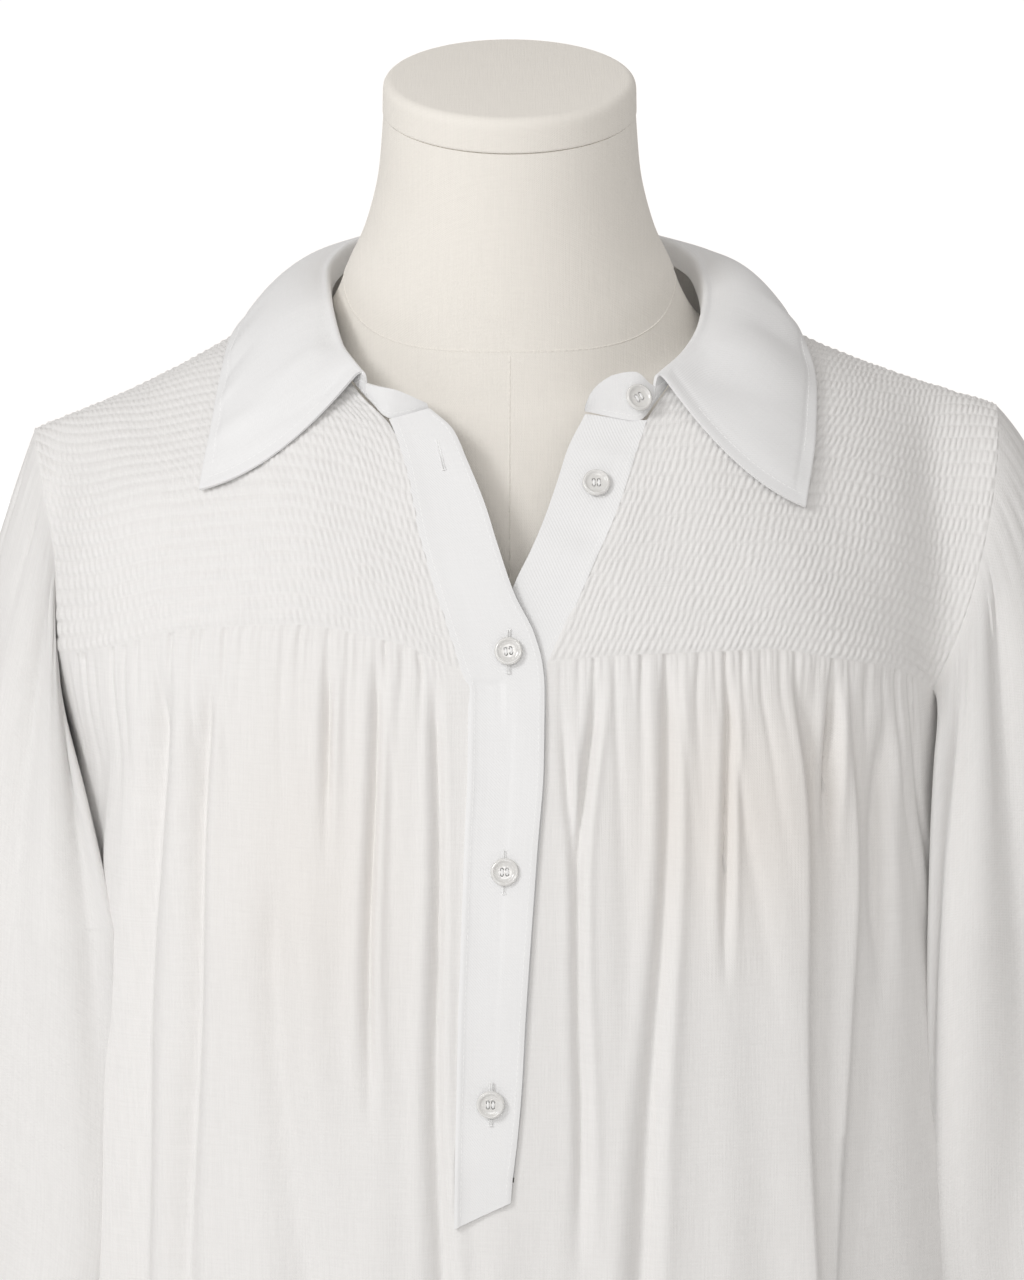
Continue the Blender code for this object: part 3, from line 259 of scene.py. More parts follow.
OVER_EDGES = [(-4.6, -4.86, -4.27, -3.28), (-5.1, -4.62, -5.05, -2.33),
              (-6.3, -4.2, -6.3, -1.7), (-7.9, -3.85, -7.9, -1.0),
              (-9.4, -3.5, -9.4, -0.5), (-11.35, -2.88, -11.35, 0.2),
              (-12.9, -2.36, -12.9, 1.0), (-14.25, -1.9, -14.15, 1.34),
              (-15.3, -1.58, -15.2, 1.42), (-18.1, -1.6, -18.1, 1.38),
              (-21.4, -1.74, -21.4, 1.13), (-24.9, -1.86, -24.9, 0.87),
              (-28.35, -1.99, -28.35, 0.64), (-31.0, -2.05, -31.0, 0.5),
              (-33.3, -2.1, -33.3, 0.31), (-35.0, -2.12, -34.9, 0.12),
              (-36.9, -2.14, -35.8, 0.05)]
UNDER_EDGES = [(-4.27, 3.13, -4.67, 5.56), (-5.6, 2.4, -5.7, 5.18), (-6.9, 1.95, -6.9, 4.75),
               (-8.3, 1.43, -8.1, 4.3), (-9.6, 0.85, -9.6, 3.6), (-10.6, 0.33, -10.9, 3.0),
               (-11.8, -0.2, -12.0, 2.5), (-12.9, -0.75, -12.9, 2.08),
               (-14.1, -1.3, -14.0, 1.55), (-18.1, -1.35, -18.1, 1.47),
               (-24.9, -1.6, -24.9, 0.96), (-31.0, -1.8, -31.0, 0.6), (-34.8, -1.9, -34.8, 0.22)]
NOTCH_BOTTOM = -35.0
NOTCH_RIGHT_SIDE = [(r[0], r[1]) for r in OVER_EDGES[7:]]
NOTCH_LEFT_SIDE = [(r[2], r[3]) for r in UNDER_EDGES[8:]] + [(-36.0, 0.15)]
BAND_LIFT = 0.22

# The folds of the front panel, each a valley that runs down from the seam.
# Columns: width at -15, -22, -29 and -40, first and last height, depth, reach.

FOLD_DEPTH = 1.3
FRONT_FOLDS = [
    (-14.4, -14.9, -15.2, -15.6, -14, -73, 0.50, 0.70),
    (-12.3, -12.8, -13.1, -13.5, -14, -73, 0.42, 0.55),
    (-10.2, -9.9, -9.6, -8.4, -22, -73, 0.36, 1.10),
    (-7.4, -7.4, -7.3, -7.2, -13, -23, 0.28, 0.34),
    (-5.5, -5.6, -5.7, -5.8, -13, -34, 0.32, 0.36),
    (-3.0, -2.95, -2.95, -2.85, -14, -52, 0.36, 0.42),
    (2.2, 2.5, 2.6, 2.8, -15, -25, 0.24, 0.34),
    (3.5, 2.9, 2.8, 2.8, -14, -40, 0.30, 0.36),
    (6.5, 6.3, 6.0, 5.2, -13, -48, 0.36, 0.50),
    (8.9, 8.9, 8.8, 8.8, -14, -28, 0.30, 0.32),
    (13.4, 13.3, 13.1, 13.0, -14, -24, 0.44, 0.38),
    (15.7, 15.5, 15.6, 16.0, -16, -30, 0.30, 0.55),
]
# Ridges that fall off sharply to their right: widths, first and last height,
# half the drop, half its width, reach.
FRONT_STEPS = [
    (11.6, 12.2, 12.3, 12.6, -14, -73, 0.44, 0.15, 2.1),
    (14.1, 14.5, 14.2, 13.8, -15, -58, 0.30, 0.15, 1.2),
    (-16.6, -17.0, -17.2, -17.4, -17, -73, -0.22, 0.30, 1.3),
]
BACK_FOLDS = [
    (-15.0, -15.3, -15.6, -16.2, -13, -73, 0.45, 0.90),
    (-10.6, -10.9, -11.4, -12.0, -12, -73, 0.38, 0.90),
    (-6.2, -6.3, -6.2, -6.0, -12, -40, 0.30, 0.80),
    (-1.6, -1.4, -1.4, -1.6, -12, -73, 0.42, 0.95),
    (3.4, 3.6, 3.8, 4.2, -12, -73, 0.34, 0.90),
    (8.2, 8.4, 8.9, 9.4, -12, -73, 0.46, 0.90),
    (12.6, 12.9, 13.4, 14.0, -13, -44, 0.34, 0.80),
    (16.0, 16.2, 16.8, 17.6, -13, -73, 0.42, 0.90),
]
FOLD_HEIGHTS = (-15.0, -22.0, -29.0, -40.0)


def panel_top(count, edge_count, corner_x, corner_z, inner_x, seam):
    """Turn and height of a half panel's top edge, from the underarm inward."""
    along = np.linspace(0, 1, edge_count, endpoint=False)
    side = math.copysign(1.0, corner_x)
    corner_turn = float(turn_of(np.array(corner_x), np.array(corner_z)))
    arm_z = blend(-22.0, corner_z, along ** 0.85)
    arm_turn = blend(side * math.pi / 2, corner_turn, along ** 1.3)
    x = np.linspace(corner_x, inner_x, count - edge_count)
    z = smooth(x, seam)
    return np.concatenate([arm_turn, turn_of(x, z)]), np.concatenate([arm_z, z])


# Sleeves: from the armhole loop down to the cuff

# height: centre out from the middle, half width, half depth, y, lean, roundness
SLEEVE_RINGS = {
    -26.0: (22.3, 3.6, 8.0, -1.0, 2.4, 0.85), -33.0: (23.4, 3.9, 7.8, -1.3, 3.1, 0.85),
    -41.0: (24.2, 4.0, 7.4, -1.8, 3.7, 0.86), -50.0: (25.0, 4.2, 6.8, -2.2, 3.4, 0.9),
    -56.0: (25.2, 4.0, 6.0, -2.4, 2.4, 0.95), -59.0: (25.1, 3.1, 4.6, -2.5, 0.7, 1.0),
    -60.0: (25.0, 2.8, 4.1, -2.5, 0.0, 1.0)}


# Collar: a stand around the neck and a leaf folded over it
# Fold of the leaf, from the wearer's right front around the back to the left
# front, its edge, and how far it bows forward and up halfway.

LEAF_FOLD = [(-5.85, -7.75, -2.85), (-6.35, -7.0, -2.35), (-6.8, -5.9, -1.85),
             (-7.4, -3.0, -0.2), (-7.6, 1.0, 0.6), (-6.9, 4.2, 1.35), (-4.6, 6.5, 1.95),
             (0.0, 7.3, 2.2), (4.6, 6.5, 1.95), (7.1, 4.2, 1.4), (7.85, 2.0, 0.9),
             (8.1, -1.3, 0.0), (7.8, -4.5, -1.05), (7.1, -6.2, -2.05), (5.9, -7.75, -2.95)]
LEAF_EDGE = [(-12.83, -8.13, -7.5), (-12.66, -7.31, -6.4), (-12.42, -6.2, -5.1),
             (-12.15, -4.2, -3.35), (-11.8, -1.2, -1.85), (-11.0, 3.2, -1.3),
             (-7.6, 7.9, -2.0), (0.0, 9.7, -2.8), (7.6, 7.9, -2.0), (11.2, 3.6, -1.2),
             (12.1, 0.8, -1.4), (12.5, -1.8, -2.05), (12.86, -4.2, -3.55),
             (12.72, -6.5, -5.5), (12.22, -8.65, -8.15)]
LEAF_BOW = [(-0.62, -0.78), (-0.55, -0.1), (-0.3, 0.5), (0, 0.7), (0, 0.8), (0.1, 0.75),
            (0.35, 0.65), (0.5, 0.6), (0.35, 0.65), (0.1, 0.75), (0, 0.95), (0, 0.95),
            (-0.1, 0.75), (-0.45, 0.15), (-0.6, -0.72)]
STAND_ENDS = {"right": ((-3.3, -4.28, -3.4, -8.0, -3.95), (-4.85, -4.55, -4.8, -8.15, -3.35)),
              "left": ((5.2, -4.66, 5.1, -8.2, -2.62), (3.1, -4.28, 3.15, -8.3, -2.95))}
STAND_FOOT_RIGHT = (-4.0, -3.2, -2.4, -0.85)
STAND_FOOT_BACK = (-8.7, -8.1, -5.0, 0.0, 5.0, 8.1, 8.7)
STAND_FOOT_LEFT = (-0.35, -1.35, -2.45, -3.95)


def stations(table, count):
    """Even steps through a table of stations."""
    place = np.linspace(0, 1, len(table))
    at = np.linspace(0, 1, count)
    table = np.array(table, float).reshape(len(table), -1)
    return np.stack([smooth(at, list(zip(place, column))) for column in table.T], axis=1)


def leaf_outward():
    fold, edge = np.array(LEAF_FOLD), np.array(LEAF_EDGE)
    return unit((edge - fold) * (1, 1, 0))


def stand_tables():
    """Foot and top of the collar stand at every station."""
    foot, top = [], []
    for x, z, top_x, top_y, top_z in STAND_ENDS["right"]:
        foot.append((x, float(front_y(np.array(x), np.array(z))), z))
        top.append((top_x, top_y, top_z))
    for z in STAND_FOOT_RIGHT:
        x = float(smooth(np.array(z), OPEN_EDGE_WEARER_RIGHT)) + GAP
        foot.append((x, float(front_y(np.array(x), np.array(z))), z + 0.1))
    for x in STAND_FOOT_BACK:
        y = float(smooth(np.array(abs(x)), NECK_Y)) - GAP
        foot.append((x, y, float(yoke_height(np.array(x), np.array(y + GAP))) + 0.12))
    for z in STAND_FOOT_LEFT:
        x = float(smooth(np.array(z), OPEN_EDGE_WEARER_LEFT)) - GAP
        foot.append((x, float(front_y(np.array(x), np.array(z))), z + 0.1))
    below = np.array(LEAF_FOLD) + leaf_outward() * 0.15 - (0, 0, 0.3)
    top += [tuple(p) for p in below]
    for x, z, top_x, top_y, top_z in STAND_ENDS["left"]:
        foot.append((x, float(front_y(np.array(x), np.array(z))), z))
        top.append((top_x, top_y, top_z))
    return foot, top


# Buttons on the bands: width, height, and how far they sit out from the front

BUTTON_PLACES = {"button_collar": (5.2, -3.62, 0.17), "button_band_upper": (3.55, -7.05, -0.05),
                 "button_band_second": (-0.05, -13.6, BAND_LIFT * 0.75),
                 "button_band_third": (-0.2, -22.3, BAND_LIFT * 0.55),
                 "button_band_fourth": (-0.77, -31.7, BAND_LIFT * 0.8)}

# The dress form: saddle-shaped rings from the hip to the neck
# Columns: half width, side height, front y, front height, back y, back height, side y

FORM_RINGS = [
    (16.2, -66.0, -9.8, -66.0, 11.2, -66.0, 0.5), (17.0, -65.2, -10.5, -65.2, 12.0, -65.2, 0.5),
    (17.3, -60.0, -10.8, -60.0, 12.5, -60.0, 0.5), (15.6, -52.0, -10.0, -52.0, 10.5, -52.0, 0.3),
    (12.6, -42.0, -8.8, -42.0, 7.5, -42.0, 0.0), (13.8, -34.0, -10.5, -34.0, 8.5, -34.0, 0.0),
    (15.3, -26.0, -13.0, -26.0, 10.0, -26.0, 0.0), (16.0, -20.0, -12.4, -20.0, 10.8, -19.0, 0.2),
    (17.3, -14.0, -11.3, -16.0, 10.3, -14.0, 0.4), (18.2, -9.4, -10.1, -12.5, 9.5, -9.0, 0.5),
    (18.2, -7.1, -9.2, -10.0, 8.6, -7.0, 0.5), (16.6, -5.03, -8.3, -8.0, 7.7, -5.0, 0.4),
    (13.6, -3.41, -7.6, -6.3, 6.9, -3.0, 0.3), (10.2, -2.05, -7.15, -4.8, 6.3, -1.2, 0.2),
    (8.2, -1.2, -6.9, -3.9, 6.1, 0.1, 0.0), (7.3, 0.1, -6.75, -2.7, 5.6, 1.1, -0.4),
    (6.8, 1.4, -6.7, -1.4, 5.0, 2.2, -0.8),
    (6.1, 2.9, -6.8, 0.6, 4.3, 3.8, -1.25), (5.5, 5.3, -7.1, 3.4, 3.6, 6.4, -1.75),
    (5.28, 7.75, -7.6, 6.25, 2.6, 9.15, -2.5)]
CAP_TILT = math.radians(16.0)


# Making closed shells from grids


def walked(point, axis=0):
    """Distance walked along each column (axis 0) or row (axis 1) of a grid."""
    step = np.linalg.norm(np.diff(point, axis=axis), axis=-1)
    start = np.zeros_like(np.take(step, [0], axis=axis))
    return np.concatenate([start, np.cumsum(step, axis=axis)], axis=axis)


def pick(count, step):
    """About every step-th index of a row, always with both ends."""
    kept = max(2, (count - 1) // step + 1)
    return np.unique(np.round(np.linspace(0, count - 1, kept)).astype(int))


def zip_rim(a, b, forward):
    """Triangles between two rows of points of different counts."""
    faces, i, j, n, m = [], 0, 0, len(a) - 1, len(b) - 1
    while i < n or j < m:
        if j == m or (i < n and (i + 1) * m <= (j + 1) * n):
            tri = (a[i], a[i + 1], b[j])
            i += 1
        else:
            tri = (a[i], b[j + 1], b[j])
            j += 1
        faces.append(tri if forward else tri[::-1])
    return faces


def patch(outer, inner, uv, every=(3, 3), rows_in=None, cols_in=None, rims=None):
    """Outer grid, plainer inner grid and the rims between them.

    rims names the sides that get one: top, bottom, left, right, each with the
    first and last row or column it covers, or None for the whole side.
    """
    rows, cols = outer.shape[:2]
    rows_in = pick(rows, every[0]) if rows_in is None else rows_in
    cols_in = pick(cols, every[1]) if cols_in is None else cols_in
    rims = {"top": None, "bottom": None, "left": None, "right": None} if rims is None else rims
    index = np.arange(rows * cols).reshape(rows, cols)
    deep = rows * cols + np.arange(len(rows_in) * len(cols_in)).reshape(len(rows_in), -1)
    quads = np.stack([index[:-1, :-1], index[:-1, 1:], index[1:, 1:], index[1:, :-1]],
                     -1).reshape(-1, 4)
    back = np.stack([deep[:-1, :-1], deep[1:, :-1], deep[1:, 1:], deep[:-1, 1:]],
                    -1).reshape(-1, 4)
    faces = [tuple(q) for q in quads.tolist()] + [tuple(q) for q in back.tolist()]
    for side, span in rims.items():
        along, fine, coarse = {"top": (cols, index[0], deep[0]),
                               "bottom": (cols, index[-1], deep[-1]),
                               "left": (rows, index[:, 0], deep[:, 0]),
                               "right": (rows, index[:, -1], deep[:, -1])}[side]
        kept = cols_in if side in ("top", "bottom") else rows_in
        low, high = (0, along - 1) if span is None else span
        coarse = coarse[(kept >= low) & (kept <= high)]
        faces += zip_rim(fine[low:high + 1].tolist(), coarse.tolist(),
                         side in ("bottom", "left"))
    sub = np.ix_(rows_in, cols_in)
    points = np.concatenate([outer.reshape(-1, 3), inner[sub].reshape(-1, 3)])
    coords = np.concatenate([uv.reshape(-1, 2), uv[sub].reshape(-1, 2)])
    r, c = rows // 2, cols // 2
    middle = outer[r:r + 2, c:c + 2]
    turned = np.cross(middle[0, 1] - middle[0, 0], middle[1, 0] - middle[0, 0])
    if turned @ (outer[r, c] - inner[r, c]) < 0:
        faces = [f[::-1] for f in faces]
    return points, faces, coords


def make(name, patches, material, nodes=(), sharp=55.0, mask=None):
    """One mesh piece from patches, welded, smooth and riding on the frame."""
    points, faces, coords, first = [], [], [], 0
    for p, f, uv in patches:
        points.append(p)
        coords.append(uv)
        faces += [tuple(i + first for i in face) for face in f]
        first += len(p)
    points = np.concatenate(points)
    coords = np.concatenate(coords) * CM
    mesh = bpy.data.meshes.new(name)
    place = (points + (0.0, 0.0, NECK_POINT)) * CM
    mesh.from_pydata(place.tolist(), [], faces)
    layer = mesh.uv_layers.new(name="cloth")
    corner = np.zeros(len(mesh.loops), np.int32)
    mesh.loops.foreach_get("vertex_index", corner)
    layer.data.foreach_set("uv", coords[corner].astype(np.float32).ravel())
    if mask is not None:
        held = mesh.attributes.new("lies", "FLOAT", "POINT")
        held.data.foreach_set("value", mask(points).astype(np.float32))
    if len(patches) > 1 or name.startswith("tube"):
        shape = bmesh.new()
        shape.from_mesh(mesh)
        bmesh.ops.remove_doubles(shape, verts=shape.verts[:], dist=2e-6)
        shape.to_mesh(mesh)
        shape.free()
    mesh.shade_smooth()
    mesh.set_sharp_from_angle(angle=math.radians(sharp))
    mesh.materials.append(material)
    made = bpy.data.objects.new(name + "_piece" if nodes else name, mesh)
    bpy.context.scene.collection.objects.link(made)
    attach(made, "root")
    if nodes:
        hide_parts(*nodes)
    return made


def weld(obj, dist=2e-6):
    shape = bmesh.new()
    shape.from_mesh(obj.data)
    bmesh.ops.remove_doubles(shape, verts=shape.verts[:], dist=dist)
    bmesh.ops.dissolve_degenerate(shape, edges=shape.edges[:], dist=1e-7)
    shape.to_mesh(obj.data)
    shape.free()
    obj.data.shade_smooth()


def spread(number, seed):
    """Even-looking fraction from 0 to 1 for each whole number."""
    value = np.sin(number * 12.9898 + seed * 78.233) * 43758.5453
    return value - np.floor(value)


# Node groups shared by the materials


def new_group(name, inputs, outputs):
    group = bpy.data.node_groups.new(name, "ShaderNodeTree")
    for label, kind, value in inputs:
        socket = group.interface.new_socket(label, in_out="INPUT", socket_type=kind)
        if value is not None:
            socket.default_value = value
    for label, kind in outputs:
        group.interface.new_socket(label, in_out="OUTPUT", socket_type=kind)
    return group, group.nodes.new("NodeGroupInput"), group.nodes.new("NodeGroupOutput")


def math_node(tree, kind, a, b=None):
    node = tree.nodes.new("ShaderNodeMath")
    node.operation = kind
    for k, value in enumerate((a, b)):
        if value is None:
            continue
        if isinstance(value, (int, float)):
            node.inputs[k].default_value = value
        else:
            tree.links.new(value, node.inputs[k])
    return node.outputs[0]


def stretched_noise(tree, vector, scale, detail=2.0):
    mapping = tree.nodes.new("ShaderNodeMapping")
    mapping.inputs["Scale"].default_value = scale
    tree.links.new(vector, mapping.inputs["Vector"])
    noise = tree.nodes.new("ShaderNodeTexNoise")
    noise.inputs["Scale"].default_value = 1.0
    noise.inputs["Detail"].default_value = detail
    tree.links.new(mapping.outputs[0], noise.inputs["Vector"])
    return noise.outputs["Fac"]


def weave_group():
    """Yarns of uneven thickness both ways, plus a fine checker or a diagonal."""
    group, source, sink = new_group(
        "woven_yarns",
        [("Vector", "NodeSocketVector", None), ("Yarns per metre", "NodeSocketFloat", 1800.0),
         ("Diagonal", "NodeSocketFloat", 0.0)],
        [("Height", "NodeSocketFloat"), ("Slub", "NodeSocketFloat")])
    t = group
    cut = t.nodes.new("ShaderNodeSeparateXYZ")
    t.links.new(source.outputs["Vector"], cut.inputs[0])
    turn = math_node(t, "MULTIPLY", source.outputs["Yarns per metre"], 2 * math.pi)
    across = math_node(t, "MULTIPLY", cut.outputs["X"], turn)
    along = math_node(t, "MULTIPLY", cut.outputs["Y"], turn)
    checker = math_node(t, "MULTIPLY", math_node(t, "SINE", across), math_node(t, "SINE", along))
    both = math_node(t, "ADD", across, along)
    diagonal = math_node(t, "SINE", math_node(t, "MULTIPLY", both, 0.5))
    mixed = t.nodes.new("ShaderNodeMix")
    t.links.new(source.outputs["Diagonal"], mixed.inputs["Factor"])
    t.links.new(checker, mixed.inputs["A"])
    t.links.new(diagonal, mixed.inputs["B"])
    warp = stretched_noise(t, source.outputs["Vector"], (1500.0, 55.0, 1.0))
    weft = stretched_noise(t, source.outputs["Vector"], (70.0, 1300.0, 1.0))
    slub = math_node(t, "ADD", math_node(t, "MULTIPLY", warp, 0.6),
                     math_node(t, "MULTIPLY", weft, 0.4))
    height = math_node(t, "ADD", math_node(t, "MULTIPLY", mixed.outputs[0], 0.22), slub)
    t.links.new(height, sink.inputs["Height"])
    t.links.new(slub, sink.inputs["Slub"])
    return group


WEAVE = weave_group()


def draped_place(tree):
    """Object coordinates laid flat for a round form: across, and up plus part of depth."""
    place = tree.nodes.new("ShaderNodeTexCoord")
    cut = tree.nodes.new("ShaderNodeSeparateXYZ")
    tree.links.new(place.outputs["Object"], cut.inputs[0])
    joined = tree.nodes.new("ShaderNodeCombineXYZ")
    tree.links.new(cut.outputs["X"], joined.inputs["X"])
    depth = math_node(tree, "MULTIPLY", cut.outputs["Y"], 0.8)
    up = math_node(tree, "ADD", cut.outputs["Z"], depth)
    tree.links.new(up, joined.inputs["Y"])
    return joined.outputs[0]


def cloth(name, colour, yarns, diagonal, depth, shade, warm=None, roughness=0.78, flat=False):
    """Cotton: woven yarns as bump and a faint change of tone along them."""
    made = bpy.data.materials.new(name)
    made.use_nodes = True
    t = made.node_tree
    shader = t.nodes["Principled BSDF"]
    uv = t.nodes.new("ShaderNodeUVMap")
    uv.uv_map = "cloth"
    weave = t.nodes.new("ShaderNodeGroup")
    weave.node_tree = WEAVE
    weave.inputs["Yarns per metre"].default_value = yarns
    weave.inputs["Diagonal"].default_value = diagonal
    t.links.new(draped_place(t) if flat else uv.outputs[0], weave.inputs["Vector"])
    tone = t.nodes.new("ShaderNodeMix")
    tone.data_type = "RGBA"
    tone.inputs["A"].default_value = (*[c * (1 - shade) for c in colour], 1)
    tone.inputs["B"].default_value = (*colour, 1)
    ramp = t.nodes.new("ShaderNodeMapRange")
    ramp.inputs["From Min"].default_value = 0.38
    ramp.inputs["From Max"].default_value = 0.6
    t.links.new(weave.outputs["Slub"], ramp.inputs["Value"])
    t.links.new(ramp.outputs[0], tone.inputs["Factor"])
    last = tone.outputs["Result"]
    if warm is not None:
        near = t.nodes.new("ShaderNodeAttribute")
        near.attribute_name = "lies"
        tint = t.nodes.new("ShaderNodeMix")
        tint.data_type = "RGBA"
        tint.inputs["B"].default_value = (*warm, 1)
        t.links.new(near.outputs["Fac"], tint.inputs["Factor"])
        t.links.new(last, tint.inputs["A"])
        last = tint.outputs["Result"]
    t.links.new(last, shader.inputs["Base Color"])
    shader.inputs["Roughness"].default_value = roughness
    shader.inputs["Sheen Weight"].default_value = 0.12
    shader.inputs["Sheen Roughness"].default_value = 0.4
    shader.inputs["Specular IOR Level"].default_value = 0.25
    bump = t.nodes.new("ShaderNodeBump")
    bump.inputs["Distance"].default_value = depth
    bump.inputs["Strength"].default_value = 1.0
    t.links.new(weave.outputs["Height"], bump.inputs["Height"])
    t.links.new(bump.outputs[0], shader.inputs["Normal"])
    return made


COTTON = cloth("white_cotton", (0.865, 0.86, 0.852), 1500.0, 0.0, 0.00022, 0.045,
               warm=(0.80, 0.735, 0.665))
TWILL = cloth("white_twill", (0.835, 0.835, 0.835), 1500.0, 1.0, 0.00011, 0.02)
JERSEY = cloth("form_jersey", (0.86, 0.825, 0.765), 1300.0, 0.0, 0.00016, 0.03, roughness=0.85,
               flat=True)
THREAD = cloth("sewing_thread", (0.92, 0.92, 0.915), 3000.0, 1.0, 0.00004, 0.02)


def pearl_material():
    made = bpy.data.materials.new("pearl_plastic")
    made.use_nodes = True
    t = made.node_tree
    shader = t.nodes["Principled BSDF"]
    place = t.nodes.new("ShaderNodeTexCoord")
    cloud = stretched_noise(t, place.outputs["Object"], (260.0, 260.0, 420.0))
    tone = t.nodes.new("ShaderNodeMix")
    tone.data_type = "RGBA"
    tone.inputs["A"].default_value = (0.86, 0.845, 0.81, 1)
    tone.inputs["B"].default_value = (0.97, 0.965, 0.95, 1)
    t.links.new(cloud, tone.inputs["Factor"])
    t.links.new(tone.outputs["Result"], shader.inputs["Base Color"])
    shader.inputs["Roughness"].default_value = 0.16
    shader.inputs["Transmission Weight"].default_value = 0.25
    shader.inputs["IOR"].default_value = 1.5
    shader.inputs["Coat Weight"].default_value = 0.5
    shader.inputs["Coat Roughness"].default_value = 0.08
    return made


def metal_material():
    made = bpy.data.materials.new("satin_steel")
    made.use_nodes = True
    t = made.node_tree
    shader = t.nodes["Principled BSDF"]
    place = t.nodes.new("ShaderNodeTexCoord")
    grain = stretched_noise(t, place.outputs["Object"], (90.0, 90.0, 900.0), 3.0)
    rough = t.nodes.new("ShaderNodeMapRange")
    rough.inputs["To Min"].default_value = 0.28
    rough.inputs["To Max"].default_value = 0.46
    t.links.new(grain, rough.inputs["Value"])
    t.links.new(rough.outputs[0], shader.inputs["Roughness"])
    shader.inputs["Base Color"].default_value = (0.60, 0.60, 0.59, 1)
    shader.inputs["Metallic"].default_value = 1.0
    return made


PEARL = pearl_material()
STEEL = metal_material()


# Smocking of the yokes

ROW_PITCH = 0.645
PUCKER = 0.285
YOKE_RUN = 16.5            # length of a row in a front yoke
YOKE_FAN = 0.45            # how far its puckers fan out with its slanted edges


def smocking(u, v, seed, lean=0.0):
    """Rows of short upright puckers between lines of elastic thread.

    The rise is puff * (low + high * wave), where puff = sin(pi f) ** 0.6 over
    the fraction f of a row, and wave is a rounded cosine across the puckers,
    each row shifted against the one below.
    """
    v = v + 0.05 * np.sin(0.55 * u + seed) + 0.025 * np.sin(1.9 * u + 2.1 * seed)
    row = np.floor(v / ROW_PITCH)
    f = v / ROW_PITCH - row
    own = spread(row, seed)
    wander = 0.15 * np.sin(1.7 * u + 6.3 * own) + 0.10 * np.sin(3.9 * u + 11 * own + seed)
    phase = u / PUCKER + 0.42 * row + 0.35 * own + wander + lean * (f - 0.5)
    wave = (0.5 + 0.5 * np.cos(2 * math.pi * phase)) ** 0.8
    strong = 0.75 + 0.25 * np.sin(2.3 * u + 9 * own) * np.sin(0.9 * u + 5 * own)
    puff = np.sin(math.pi * f) ** 0.6
    return puff * (0.036 + 0.084 * wave * strong)


def at_edges(rows, cols, reach=2):
    """1 inside a grid, 0 on its rim."""
    r = np.minimum(np.arange(rows), np.arange(rows)[::-1]) / reach
    c = np.minimum(np.arange(cols), np.arange(cols)[::-1]) / reach
    return ease(np.clip(r, 0, 1))[:, None] * ease(np.clip(c, 0, 1))[None, :]


def soften_across(point, passes=60):
    """Even out a grid along its rows, with its seam row and both ends kept."""
    rows, cols = point.shape[:2]
    hold = ease(np.arange(rows) / 30.0)[:, None] * ease(
        np.minimum(np.arange(cols), np.arange(cols)[::-1]) / 12.0)[None, :]
    soft = point.copy()
    for _ in range(passes):
        step = soft.copy()
        step[:, 2:-2] = (soft[:, :-4] + soft[:, 4:] + 2 * soft[:, 2:-2]) / 4
        soft = blend(soft, step, hold[..., None])
    return soft


def grid_normal(point, like):
    """Normals of a grid, turned to the side that like points to."""
    out = unit(np.cross(np.gradient(point, axis=1), np.gradient(point, axis=0)))
    return out * np.sign(np.sum(out * like, axis=-1, keepdims=True))


def lies_on_shoulder(points):
    return 0.10 + 0 * points[:, 0]


def front_yoke(name, arm_edge, open_edge, start_arm, start_open, seed, lean):
    """A shirred front yoke from its open edge to its arm edge, seam to shoulder."""
    rows, cols = 184, 330
    angle = even_angle(np.linspace(0, 1, rows))
    inside = edge_x(angle, open_edge, start_open)
    outside = edge_x(angle, arm_edge, start_arm)
    share = np.linspace(0, 1, cols)[None, :]
    x = blend(inside[:, None], outside[:, None], share)
    angle = angle[:, None] * np.ones(cols)[None, :]
    point = soften_across(yoke_point(x, angle))
    normal = grid_normal(point, yoke_normal(x, angle))
    seam = ring_point(turn_of(x[0], point[0, :, 2]), point[0, :, 2])[1]
    near = np.exp(-np.arange(rows) / 4.0)[:, None, None]
    normal = unit(normal * (1 - near) + seam[None] * near)
    v = walked(point)
    sway = 0.06 * np.sin(x * 0.9 + v * 0.35 + seed) + 0.05 * np.sin(x * 0.37 - v * 0.8)
    across = YOKE_FAN * share * YOKE_RUN + (1 - YOKE_FAN) * np.abs(x)
    rise = smocking(across, v, seed, lean) * at_edges(rows, cols)
    rise = rise + sway * at_edges(rows, cols, 25)
    uv = np.stack([x, v], -1)
    part = patch(point + normal * rise[..., None], point - COTTON_WALL * normal, uv, (4, 5))
    return make(name, [part], COTTON, [name], mask=lies_on_shoulder)


def back_yoke():
    rows, cols = 118, 540
    x = np.linspace(-20.4, 20.9, cols)
    share = np.linspace(0, 1, rows)[:, None]
    top = neck_angle(x)[None, :]
    angle = top + even_angle(share) * (ARC - top) / ARC
    shoulder = np.where(x < 0, -20.4, 20.9)
    arm = np.where(x < 0, edge_x(even_angle(share), ARM_EDGE_BACK_RIGHT, -20, False),
                   edge_x(even_angle(share), ARM_EDGE_BACK_LEFT, 20, False))
    width = x[None, :] * (1 + (arm / shoulder - 1) * (x / shoulder) ** 2)
    point, normal = yoke_point(width, angle, False), yoke_normal(width, angle, False)
    seam = ring_point(turn_of(width[0], point[0, :, 2]), point[0, :, 2], False)[1]
    near = np.exp(-np.arange(rows) / 4.0)[:, None, None]
    normal = unit(normal * (1 - near) + seam[None] * near)
    drop = smooth(np.full(cols, 0.0), BACK_SEAM_Z)
    v = (point[..., 2] - drop[None, :]) * 1.06
    v = blend(walked(point), np.abs(v), 0.35)
    rise = smocking(width, v, 4.7) * at_edges(rows, cols)
    uv = np.stack([width, walked(point)], -1)
    part = patch(point + normal * rise[..., None], point - COTTON_WALL * normal, uv, (4, 5))
    return make("yoke_back", [part], COTTON, ["yoke_back"],
                mask=lies_on_shoulder)


# Front and back panels


